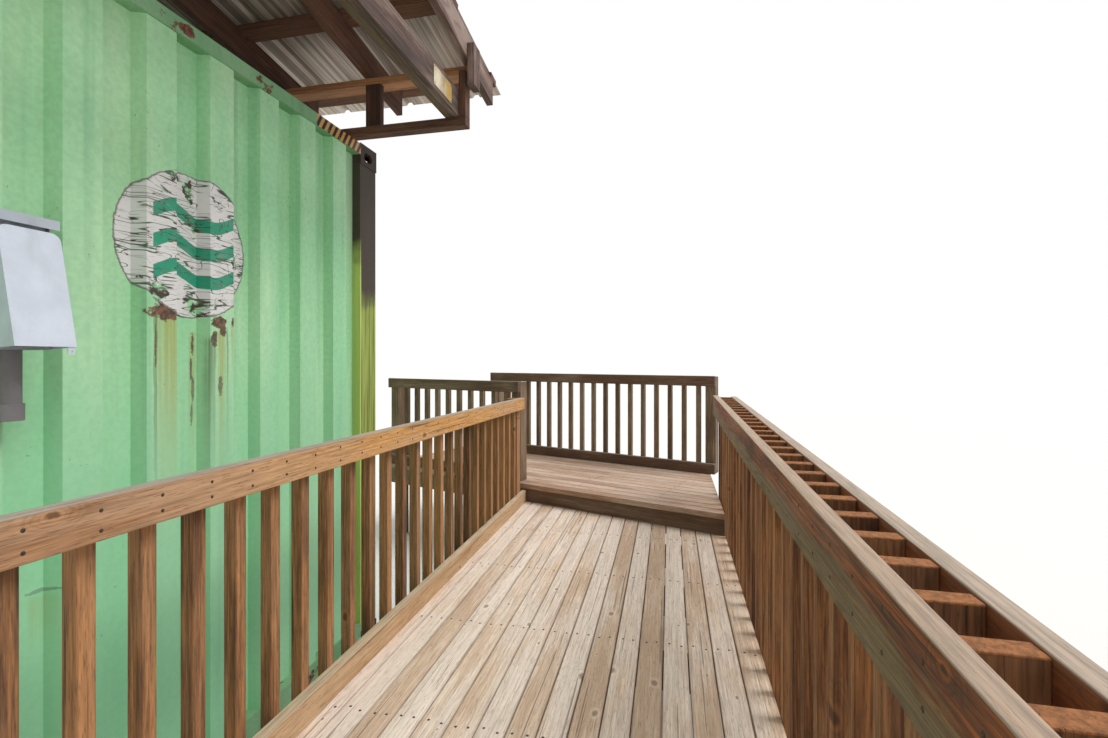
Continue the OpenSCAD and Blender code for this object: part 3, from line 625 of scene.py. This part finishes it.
def beads(look, place, colour, height):
    """The roof sheet's small beads between its ribs, bumped and drawn as dark lines of painted shade,
    and its plainer upper side.
    """
    up = look.split(look.add("NewGeometry").outputs["True Normal"])[2]
    colour = look.mix(look.math("GREATER_THAN", up, 0.0), colour, upper_zinc(look, place))
    py = look.split(place)[1]
    count = look.math("DIVIDE", look.math("SUBTRACT", py, ROOF_Y0), BEAD_PITCH)
    bead = look.ramp(look.math("PINGPONG", count, 0.5), 0.03, 0.10, 1.0, 0.0)
    # Dark lines of painted shade along each bead
    colour = look.mix(look.math("MULTIPLY", bead, 0.45), colour, BEAD_SHADE)
    return colour, look.math("MULTIPLY_ADD", bead, 5.0, height)


def plain(name, colour, second, rough, metal, scale, grit=0.05, stain=None, stretch=None,
          extra=None):
    """A cast, moulded or galvanised surface: two tones in patches, fine grain and faint dirt."""
    look = Look(name, rough, metal)
    place = look.place()
    tone = look.noise(place, scale, 5.0, 0.6, stretch)
    tone = look.mix(look.ramp(tone, 0.35, 0.65), colour, second)
    if stain:
        dirt = look.noise(place, detail=4.0, stretch=(12.0, 12.0, 3.0))
        tone = look.mix(look.ramp(dirt, 0.48, 0.75, 0.0, 0.6), tone, stain)
    tone = look.speckle(tone, place, 300.0, grit)
    height = look.noise(place, 500.0, 2.0)
    if extra:
        tone, height = extra(look, place, tone, height)
    return look.finish(tone, height, 0.0004, 0.5)


PAINT = dict(paint=rgb(148, 210, 158), faded=rgb(186, 224, 180), deep=rgb(78, 154, 110))
SIDE_PAINT = dict(paint=rgb(144, 204, 154), faded=rgb(170, 216, 168), deep=rgb(106, 174, 128))
FRAME_PAINT = dict(paint=rgb(104, 158, 112), faded=rgb(140, 180, 138), deep=rgb(62, 88, 60))
GREY_TOP = rgb(178, 168, 156)

looks = {
    "wall": steel("painted_end_wall", **PAINT, rust=0.0, extra=round_film,
                  patches=[(-0.105, 1.832, 0.092, 0.046), (0.110, 1.808, 0.050, 0.034),
                           (0.088, 1.745, 0.022, 0.050), (0.128, 1.775, 0.020, 0.036),
                           (0.176, 1.812, 0.012, 0.026), (0.034, 1.720, 0.009, 0.055),
                           (0.028, 1.630, 0.008, 0.060), (0.036, 1.550, 0.009, 0.070),
                           (0.031, 1.460, 0.008, 0.060), (-0.040, 1.575, 0.014, 0.035),
                           (-0.149, 1.700, 0.006, 0.110), (0.116, 1.560, 0.014, 0.050),
                           (-0.460, 1.000, 0.060, 0.008), (-0.395, 0.930, 0.014, 0.030)],
                  washes=[(-0.100, 1.84, 0.95, 0.058, 0.90), (0.122, 1.79, 1.05, 0.026, 0.85),
                          (0.034, 1.78, 0.90, 0.022, 0.6), (-0.46, 1.00, 0.80, 0.035, 0.8),
                          (0.176, 1.82, 1.50, 0.010, 0.6), (0.455, 1.30, 0.55, 0.02, 0.5)],
                  # The run at x 0.078 is partly rust and partly painted shade of a rib slope
                  stains=[(-0.149, 1.84, 0.90, 0.009, 0.9), (-0.043, 1.84, 0.85, 0.010, 0.9),
                          (0.078, 1.76, 1.00, 0.022, 0.75), (0.150, 1.80, 1.20, 0.006, 0.7)]),
    "paint": steel("painted_steel", **SIDE_PAINT, rust=0.22),
    "frame": steel("painted_frame", **FRAME_PAINT, rust=0.35),
    "header": steel("painted_header", **FRAME_PAINT, rust=0.40, extra=hazard,
                    patches=[(-0.04, 2.86, 0.05, 0.03)]),
    # The post's dark brown colours are painted shade, kept above the painted shadow line
    "post": steel("corner_post", rgb(58, 50, 42), rgb(70, 61, 50), rgb(38, 33, 28), rust=0.3,
                  rough=0.75, extra=post_sun_and_shade),
    "casting": steel("cast_corner", rgb(54, 42, 38), rgb(68, 55, 47), rgb(36, 28, 26), rust=0.35,
                     rough=0.8),
    "under": steel("underbody_coat", rgb(50, 48, 46), rgb(66, 60, 56), rgb(36, 34, 32), rust=0.4,
                   rough=0.8),
    "zinc": plain("galvanised_steel", rgb(150, 152, 152), rgb(122, 124, 122), 0.45, 0.7, 30.0,
                  stain=rgb(108, 88, 66)),
    # Its two tones, stretched into long streaks along the sheet, are partly the zinc's own tone and
    # partly painted reflection
    "sheet": plain("roof_sheet_zinc", rgb(226, 212, 200), rgb(150, 134, 122), 0.46, 0.4, 1.0, 0.02,
                   stretch=(0.2, 26.0, 3.0), extra=beads),
    "shell": plain("outlet_shell", rgb(204, 212, 223), rgb(194, 202, 213), 0.45, 0.0, 9.0, 0.02,
                   stain=rgb(172, 176, 180)),
    "hood": plain("outlet_hood", rgb(182, 190, 200), rgb(170, 178, 188), 0.5, 0.0, 9.0, 0.02,
                  stain=rgb(140, 142, 144)),
    "pipe": plain("conduit_grey", rgb(132, 128, 130), rgb(116, 112, 114), 0.55, 0.0, 9.0, 0.03,
                  stain=rgb(92, 86, 82)),
    "nail": plain("nail_heads", rgb(84, 72, 64), rgb(58, 48, 44), 0.6, 0.5, 400.0),
    "roof_screw": plain("roof_screws", rgb(150, 150, 148), rgb(124, 122, 118), 0.5, 0.6, 200.0),
    "rubber": plain("door_seal", rgb(34, 34, 34), rgb(46, 45, 44), 0.7, 0.0, 40.0),
    "plate": plain("beam_plate_face", rgb(214, 206, 184), rgb(172, 138, 62), 0.55, 0.0, 9.0, 0.06,
                   stain=rgb(60, 52, 40)),
    "deck": wood("deck_boards", rgb(246, 226, 202), rgb(192, 164, 138), rgb(218, 210, 204), 0.45, 0.3,
                 knots=0.22),
    "landing": wood("landing_boards", rgb(220, 188, 160), rgb(152, 120, 96), rgb(190, 178, 170), 0.4,
                    0.4),
    "curb": wood("curb_board", rgb(208, 168, 122), rgb(146, 108, 72), rgb(182, 164, 142), 0.3, 0.4,
                 bleach=rgb(204, 182, 152)),
    # far is partly weathering and partly painted sunlight on the rail's far end
    "rail": wood("rail_orange", rgb(206, 156, 110), rgb(122, 80, 50), rgb(168, 146, 124), 0.45, 0.6,
                 bleach=GREY_TOP, far=rgb(240, 178, 104)),
    "baluster": wood("baluster_brown", rgb(204, 142, 86), rgb(88, 60, 40), rgb(134, 112, 90), 0.35,
                     0.4),
    "grey": wood("grey_timber", rgb(144, 126, 110), rgb(88, 72, 60), rgb(156, 146, 138), 0.8, 0.5),
    "right_rail": wood("rail_weathered", rgb(206, 114, 44), rgb(76, 52, 36), rgb(120, 106, 86),
                       0.65, 0.9, bleach=rgb(200, 178, 156), lower=rgb(140, 120, 84)),
    "right_baluster": wood("baluster_wide", rgb(196, 132, 74), rgb(84, 52, 30), rgb(144, 120, 94),
                           0.4, 0.7, cut=rgb(168, 108, 60)),
    "outer": wood("outer_rail", rgb(182, 108, 54), rgb(104, 62, 34), rgb(150, 130, 112), 0.3, 0.6,
                  bleach=rgb(200, 184, 166)),
    "loose": wood("silver_board", rgb(186, 174, 160), rgb(130, 116, 102), rgb(190, 186, 180), 0.9, 0.5),
    "far": wood("far_rail_brown", rgb(160, 132, 102), rgb(92, 72, 54), rgb(146, 130, 112), 0.45, 0.4),
    "far_lying": wood("far_rail_board", rgb(154, 118, 92), rgb(94, 70, 54), rgb(144, 128, 112), 0.4,
                      0.4, bleach=rgb(160, 146, 132)),
    "riser": wood("riser_board", rgb(152, 126, 104), rgb(96, 76, 60), rgb(140, 128, 114), 0.55, 0.5),
    "joist": wood("treated_joist", rgb(132, 112, 86), rgb(84, 68, 50), rgb(116, 106, 94), 0.5, 0.4),
    "roof_dark": wood("roof_timber_dark", rgb(126, 84, 60), rgb(58, 36, 26), rgb(104, 82, 70), 0.2,
                      0.5),
    "roof_grey": wood("roof_timber_grey", rgb(150, 118, 102), rgb(62, 48, 42), rgb(166, 148, 138),
                      0.6, 0.9),
    "roof_olive": wood("roof_timber_olive", rgb(116, 92, 68), rgb(66, 50, 38), rgb(112, 100, 84),
                       0.35, 0.5),
    "roof_tan": wood("roof_timber_tan", rgb(222, 160, 108), rgb(150, 98, 62), rgb(164, 138, 114), 0.2,
                     0.4, knots=0.3),
    "roof_orange": wood("roof_edge_orange", rgb(150, 100, 64), rgb(90, 58, 40), rgb(120, 98, 80), 0.4,
                        0.6),
    "plywood": wood("plywood_floor", rgb(168, 132, 94), rgb(120, 88, 60), rgb(130, 116, 100), 0.4,
                    0.3, knots=0.03),
}


def give(node, look):
    """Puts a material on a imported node."""
    target = nodes[node]
    if not target.material_slots:
        target.data.materials.append(None)
    for one in target.material_slots:
        one.material = looks[look]


def groups(bm):
    """The separate solids in a mesh, each as a list of faces."""
    bm.faces.index_update()
    seen, found = set(), []
    for face in bm.faces:
        if face.index in seen:
            continue
        seen.add(face.index)
        stack, group = [face], []
        while stack:
            one = stack.pop()
            group.append(one)
            for edge in one.edges:
                for other in edge.link_faces:
                    if other.index not in seen:
                        seen.add(other.index)
                        stack.append(other)
        found.append(group)
    return found


def board_axes(group):
    """Along a board, across it, and the third way, from its longest edges."""
    ways = [(edge.verts[1].co - edge.verts[0].co) for face in group for edge in face.edges]
    along = max(ways, key=lambda way: round(way.length, 6)).normalized()
    cross = [way - along * way.dot(along) for way in ways]
    square = [c for c, way in zip(cross, ways) if abs(way.normalized().dot(along)) < 0.2]
    across = max(square, key=lambda way: round(way.length, 6)).normalized()
    for way in (along, across):
        if max(way, key=abs) < 0:
            way.negate()
    return along, across, along.cross(across)


def half_of(bm, point, way, keep_front):
    """The part of a mesh on one side of a plane, closed where it was cut."""
    part = bm.copy()
    point, way = Vector(point), Vector(way)
    bmesh.ops.bisect_plane(part, geom=[*part.verts, *part.edges, *part.faces], dist=WELD,
                           plane_co=point, plane_no=way, clear_inner=keep_front,
                           clear_outer=not keep_front)
    flat = [face for face in part.faces
            if all(abs((vert.co - point).dot(way)) < 2 * WELD for vert in face.verts)]
    bmesh.ops.delete(part, geom=flat, context="FACES")
    bmesh.ops.delete(part, geom=[edge for edge in part.edges if edge.is_wire], context="EDGES")
    bmesh.ops.holes_fill(part, edges=[edge for edge in part.edges if edge.is_boundary], sides=0)
    bmesh.ops.recalc_face_normals(part, faces=part.faces)
    return part


def sawn(bm, point, way):
    """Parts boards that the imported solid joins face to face, along the plane where they meet."""
    whole = bmesh.new()
    for keep_front in (False, True):
        part = half_of(bm, point, way, keep_front)
        mesh = bpy.data.meshes.new("part")
        part.to_mesh(mesh)
        whole.from_mesh(mesh)
        part.free()
        bpy.data.meshes.remove(mesh)
    bm.free()
    return whole


def new_piece(name, bm, looks_used, body="cabin"):
    """Makes a piece of finished mesh code, which rides on a body."""
    mesh = bpy.data.meshes.new(name)
    bm.to_mesh(mesh)
    bm.free()
    for look in looks_used:
        mesh.materials.append(looks[look])
    piece = bpy.data.objects.new(name, mesh)
    scene.collection.objects.link(piece)
    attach(piece, body)
    return piece


def rounded_boards(node, cuts):
    """A node's mesh as separate boards with rounded edges."""
    bm = bmesh.new()
    bm.from_mesh(nodes[node].data)
    bmesh.ops.remove_doubles(bm, verts=bm.verts, dist=WELD)
    bmesh.ops.dissolve_limit(bm, angle_limit=FLAT, verts=bm.verts, edges=bm.edges)
    for point, way in cuts:
        bm = sawn(bm, point, way)
    sharp = [e for e in bm.edges if len(e.link_faces) == 2 and e.calc_face_angle() > SHARP]
    bmesh.ops.bevel(bm, geom=sharp, offset=BOARD_BEVEL, segments=2, profile=0.5, affect="EDGES",
                    clamp_overlap=True)
    bm.verts.index_update()
    return bm


def measured(group):
    """A board's points by index, its axes, and its middle and half size along each of them."""
    axes = board_axes(group)
    verts = {v.index: v for face in group for v in face.verts}
    spans = [[v.co.dot(axis) for v in verts.values()] for axis in axes]
    middle = [(min(span) + max(span)) / 2 for span in spans]
    size = [(max(span) - min(span)) / 2 for span in spans]
    return verts, axes, middle, size


def timber(node, pick, cuts):
    """Replaces a node by its boards, and stores each board's own grain directions on them. pick
    gives a board's look from its middle, its direction and its size."""
    bm = rounded_boards(node, cuts)
    count = len(bm.verts)
    grain, half, board = [0.0] * (3 * count), [0.0] * (3 * count), [0.0] * count
    names = []
    for number, group in enumerate(groups(bm)):
        verts, axes, middle, size = measured(group)
        centre = sum((axis * m for axis, m in zip(axes, middle)), Vector()) - ORIGIN
        name = pick(centre, axes[0], size)
        if name not in names:
            names.append(name)
        for face in group:
            face.material_index = names.index(name)
        chance = random.Random(f"{node} {number}").random()
        for index, vert in verts.items():
            for k, (axis, m, s) in enumerate(zip(axes, middle, size)):
                grain[3 * index + k] = vert.co.dot(axis) - m
                half[3 * index + k] = s
            board[index] = chance
    piece = new_piece(node + "_timber", bm, names)
    for key, kind, field, values in (("grain", "FLOAT_VECTOR", "vector", grain),
                                     ("half", "FLOAT_VECTOR", "vector", half),
                                     ("board", "FLOAT", "value", board)):
        piece.data.attributes.new(key, kind, "POINT").data.foreach_set(field, values)
    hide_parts(node)


STANDING = 0.8


def always(name):
    """The same look for every board. This and the next five are what timber calls pick."""
    return lambda centre, along, size: name


def upright(name, other):
    """One look for boards that stand, another for those that lie."""
    return lambda centre, along, size: name if abs(along.z) > STANDING else other


def right_side(centre, along, size):
    """Balusters between an inner and an outer rail, with a loose board beyond them."""
    if abs(along.z) > STANDING:
        return "right_baluster"
    if centre.y > DECK_Y0 - 0.05:
        return "right_rail"
    return "outer" if centre.y > DECK_Y0 - BOARD_W - 0.045 else "loose"


def left_side(centre, along, size):
    """The railing by the container, with its thicker grey post at the near end."""
    if abs(along.z) < STANDING:
        return "rail"
    return "grey" if size[1] > 0.04 and centre.x < 0 else "baluster"


def end_beam(centre, along, size):
    return "roof_grey" if centre.y < END_BEAM_Y + BOARD_T else "roof_olive"


def purlin(centre, along, size):
    return "roof_orange" if abs(centre.x) > 1.2 else "roof_dark"


def across_y(*levels):
    """Planes across Y, where boards are sawn apart."""
    return [(at(0, y, 0), (0, 1, 0)) for y in levels]


def across_d(*levels):
    """Planes along the landing's edge, at distances from the ramp."""
    way = (math.cos(SKEW), -math.sin(SKEW), 0)
    return [(landing(0, d, 0), way) for d in levels]


def dress_timber():
    frame_d = (LANDING_BOARDS - 1) * DECK_PITCH + BOARD_W - 2 * LANDING_NOSE - BOARD_T
    for node, pick, cuts in (
        ("floor_boards", always("plywood"), ()),
        ("canopy_bearers", always("roof_dark"), ()),
        ("canopy_end_beam", end_beam, across_y(END_BEAM_Y + BOARD_T)),
        ("canopy_posts_left", always("roof_dark"), ()),
        ("canopy_posts_right", always("roof_dark"), ()),
        ("canopy_eave_plates", always("roof_tan"), ()),
        ("canopy_rafters", always("roof_dark"), ()),
        ("canopy_purlins", purlin, ()),
        ("canopy_fascia", always("roof_grey"), across_y(CANOPY_Y0)),
        ("deck_posts", always("grey"), ()),
        ("ramp_frame", always("joist"), across_y(DECK_Y0 + BOARD_T, DECK_Y1 - BOARD_T)),
        ("ramp_boards", always("deck"), ()),
        ("ramp_curb", always("curb"), ()),
        ("left_railing", left_side, across_y(DECK_Y1)),
        ("right_railing", right_side,
         across_y(DECK_Y0 - PLAY, DECK_Y0 - PLAY - BOARD_W, DECK_Y0 - PLAY - BOARD_W - BOARD_T)),
        ("step_riser", always("riser"), ()),
        ("landing_frame", always("joist"), across_d(BOARD_T, frame_d)),
        ("landing_boards", always("landing"), ()),
        ("far_railing", upright("far", "far_lying"), across_d(LANDING_D + BOARD_T)),
        ("side_railing", upright("far", "far_lying"), across_d(BOARD_T)),
    ):
        timber(node, pick, cuts)


def dress_metal():
    for look, names in (
        ("wall", ("front_wall",)),
        ("paint", ("left_wall", "right_wall", "roof_panel", "left_door", "right_door")),
        ("frame", ("front_sill", "door_header", "door_sill", "top_rails", "bottom_rails",
                   "rear_posts")),
        ("header", ("front_header",)),
        ("post", ("front_posts",)),
        ("casting", ("top_castings", "bottom_castings")),
        ("under", ("crossmembers",)),
        ("zinc", ("lock_rods", "rod_brackets", "door_handles", "door_hinges")),
        ("sheet", ("canopy_sheet",)),
        ("shell", ("outlet_cover",)),
        ("hood", ("outlet_box",)),
        ("pipe", ("outlet_conduit",)),
    ):
        for name in names:
            give(name, look)


def heads(name, places, radius, height, look, sides=8):
    """Fastener heads as low domes, one piece: places are (point, outward direction)."""
    bm = bmesh.new()
    for point, way in places:
        turn = Vector(way).normalized().to_track_quat("Z", "Y")
        rings = [[bm.verts.new(point + turn @ Vector((r * math.cos(a), r * math.sin(a), z)))
                  for a in (2 * math.pi * k / sides for k in range(sides))]
                 for r, z in ((radius, -HEAD_SUNK), (radius, height * 0.45), (radius * 0.6, height))]
        for low, high in zip(rings, rings[1:]):
            for k in range(sides):
                bm.faces.new((low[k], low[(k + 1) % sides], high[(k + 1) % sides], high[k]))
        bm.faces.new(rings[-1])
        bm.faces.new(rings[0][::-1])
    new_piece(name, bm, [look])


def strayed(random_source, value, reach):
    """A value moved by up to reach either way."""
    return value + random_source.uniform(-reach, reach)


def deck_nails():
    """Two nails through each board of the ramp into every joist."""
    chance = random.Random(11)
    up = Vector((-math.sin(RAMP_SLOPE), 0, math.cos(RAMP_SLOPE)))
    places = []
    for board in range(DECK_BOARDS):
        y0 = DECK_Y0 + board * DECK_PITCH
        for joist in range(RAMP_JOISTS):
            for across in NAILS_ACROSS:
                x = strayed(chance, RAMP_X + joist * JOIST_PITCH + BOARD_T / 2, 0.008)
                y = strayed(chance, y0 + across, 0.004)
                if x < edge_x(y0) - BOARD_END:
                    places.append((at(x, y, deck_z(x)), up))
    heads("deck_nails", places, *NAIL, "nail")


def landing_nails():
    """Two nails through each board of the landing into every joist."""
    chance = random.Random(12)
    places = []
    for board in range(LANDING_BOARDS):
        for joist in range(LANDING_JOISTS):
            for across in NAILS_ACROSS:
                d = strayed(chance, board * DECK_PITCH - LANDING_NOSE + across, 0.004)
                w = strayed(chance, LANDING_JOIST_W + joist * LANDING_JOIST_PITCH, 0.008)
                places.append((landing(w, d, LANDING_Z), (0, 0, 1)))
    heads("landing_nails", places, *NAIL, "nail")


def steps(first, end, pitch):
    """Places from first on, up to end."""
    while first < end:
        yield first
        first += pitch


def railing_screws():
    """Two screws where each baluster meets a rail."""
    chance = random.Random(13)
    places = []
    for x in steps(*LEFT_BALUSTERS, BALUSTER_PITCH):
        for up in LEFT_SCREWS:
            z = strayed(chance, top_z(LEFT_TOP, x) - BOARD_W + up, 0.004)
            places.append((at(x + BOARD_T / 2, LEFT_RAIL_Y, z), (0, -1, 0)))
    for x in steps(*RIGHT_BALUSTERS, BALUSTER_PITCH):
        for up in RIGHT_SCREWS:
            z = strayed(chance, top_z(RIGHT_TOP, x) - PLANK_W + up, 0.005)
            places.append((at(x + BOARD_T / 2, DECK_Y0 + BOARD_T, z), (0, 1, 0)))
    toward = (-math.cos(SKEW), math.sin(SKEW), 0)
    for w0, w1, d, top in LANDING_RAILS:
        levels = [top - down for down in TOP_SCREWS] + [LANDING_Z + up for up in FOOT_SCREWS]
        for w in steps(w0 + BOARD_W + POST_GAP, w1 - BOARD_W, BALUSTER_PITCH):
            for z in levels:
                place = landing(w + BOARD_T / 2, d, strayed(chance, z, 0.004))
                places.append((place, toward))
    heads("railing_screws", places, *RAIL_SCREW, "nail")


def roof_screws():
    """Screws with washers beside each rib of the roof sheet, along every purlin."""
    chance = random.Random(14)
    up = Vector((math.sin(ROOF_SLOPE), 0, math.cos(ROOF_SLOPE)))
    places = []
    for x in PURLINS_X:
        z = EAVE_Z + (EAVE_X - x) * math.tan(ROOF_SLOPE) + PLANK_W / math.cos(ROOF_SLOPE)
        for rib in range(ROOF_RIBS):
            y = strayed(chance, ROOF_Y0 + (rib + 0.5) * RIB_PITCH + BESIDE_RIB, 0.004)
            places.append((at(x, y, z) + up * SHEET_HIGH, up))
    heads("roof_screws", places, *ROOF_SCREW, "roof_screw", sides=6)


def bars(name, boxes, look, bevel=0.0015):
    """Rounded bars from their low and high corners, one piece."""
    bm = bmesh.new()
    for low, high in boxes:
        bar = bmesh.ops.create_cube(bm, size=1.0)["verts"]
        for vert in bar:
            vert.co = at(*[a + (b - a) * (c + 0.5) for a, b, c in zip(low, high, vert.co)])
    bmesh.ops.bevel(bm, geom=bm.edges[:], offset=bevel, segments=2, profile=0.5, affect="EDGES",
                    clamp_overlap=True)
    new_piece(name, bm, [look])


def door_seals():
    """Rubber seals in the gaps round both cargo doors."""
    y0, y1 = SEAL_Y
    boxes = [((-MEETING_GAP / 2, y0, DOOR_LOW + SILL_GAP),
              (MEETING_GAP / 2, y1, DOOR_HIGH - SILL_GAP))]
    for side in (-1, 1):
        x0, x1 = sorted((side * (DOOR_SIDE - JAMB_GAP), side * DOOR_SIDE))
        boxes.append(((x0, y0, DOOR_LOW), (x1, y1, DOOR_HIGH)))
    for z in (DOOR_LOW, DOOR_HIGH - SILL_GAP):
        boxes.append(((JAMB_GAP - DOOR_SIDE, y0, z), (DOOR_SIDE - JAMB_GAP, y1, z + SILL_GAP)))
    bars("door_seals", boxes, "rubber")


def beam_plate():
    """A bare worn plate nailed to the roof's end beam."""
    x0, x1, z0, z1 = PLATE
    front = END_BEAM_Y - PLATE_T
    bars("beam_plate", [((x0, front, z0), (x1, END_BEAM_Y, z1))], "plate", bevel=0.0006)
    places = [(at(x, front, z), (0, -1, 0))
              for x in (x0 + PLATE_NAIL, x1 - PLATE_NAIL) for z in (z0 + PLATE_NAIL, z1 - PLATE_NAIL)]
    heads("plate_nails", places, *PLATE_PIN, "nail")


SENSOR = 36
LENS = 16.99
SHIFT_Y = -0.0081
CAMERA_AT = (-1.603, -1.713, 1.661)
CAMERA_HEADING = -77.5


def make_camera():
    """The camera that was fitted to the end wall's corners and ribs."""
    data = bpy.data.cameras.new("camera")
    data.sensor_width = SENSOR
    data.lens = LENS
    data.shift_y = SHIFT_Y
    data.clip_start = 0.02
    camera = bpy.data.objects.new("camera", data)
    camera.location = at(*CAMERA_AT)
    camera.rotation_euler = (math.radians(90), 0, math.radians(CAMERA_HEADING))
    scene.collection.objects.link(camera)
    scene.camera = camera


AMBIENT = 0.58
# Each lamp: the direction it shines from, its power and its width in degrees
KEY = ((0.08, -0.85, 1.15), 2.2, 30)
FILL = ((0.60, 0.90, 0.80), 0.6, 60)
FLOOR_HALF = 150


def sun(name, way, power, width):
    data = bpy.data.lights.new(name, "SUN")
    data.energy = power
    data.angle = math.radians(width)
    lamp = bpy.data.objects.new(name, data)
    lamp.rotation_euler = Vector(way).to_track_quat("Z", "Y").to_euler()
    scene.collection.objects.link(lamp)


def seen_directly(tree):
    """1 for what the camera sees, also by reflection or through glass, and 0 for the rest."""
    path = tree.nodes.new("ShaderNodeLightPath")
    seen = path.outputs["Is Camera Ray"]
    for other in ("Is Glossy Ray", "Is Transmission Ray"):
        either = tree.nodes.new("ShaderNodeMath")
        either.operation = "MAXIMUM"
        tree.links.new(seen, either.inputs[0])
        tree.links.new(path.outputs[other], either.inputs[1])
        seen = either.outputs[0]
    return seen


def make_world():
    """A surround that is white to look at and lights the object softly."""
    world = bpy.data.worlds.new("studio")
    world.use_nodes = True
    scene.world = world
    tree = world.node_tree
    light, white = tree.nodes["Background"], tree.nodes.new("ShaderNodeBackground")
    light.inputs["Color"].default_value = (1, 1, 1, 1)
    light.inputs["Strength"].default_value = AMBIENT
    white.inputs["Color"].default_value = (1, 1, 1, 1)
    blend = tree.nodes.new("ShaderNodeMixShader")
    for source, socket in zip((seen_directly(tree), light.outputs[0], white.outputs[0]),
                              blend.inputs):
        tree.links.new(source, socket)
    tree.links.new(blend.outputs[0], tree.nodes["World Output"].inputs["Surface"])


def make_floor():
    """A plain pale floor."""
    mesh = bpy.data.meshes.new("floor")
    size = FLOOR_HALF
    mesh.from_pydata([(-size, -size, 0), (size, -size, 0), (size, size, 0), (-size, size, 0)], [],
                     [(0, 1, 2, 3)])
    look = Look("pale_floor", 0.9)
    mesh.materials.append(look.finish(rgb(232, 231, 228)))
    floor = bpy.data.objects.new("floor", mesh)
    scene.collection.objects.link(floor)


scene.view_settings.view_transform = "Standard"
make_camera()
make_world()
make_floor()
sun("key", *KEY)
sun("fill", *FILL)
dress_metal()
dress_timber()
deck_nails()
landing_nails()
railing_screws()
roof_screws()
door_seals()
beam_plate()
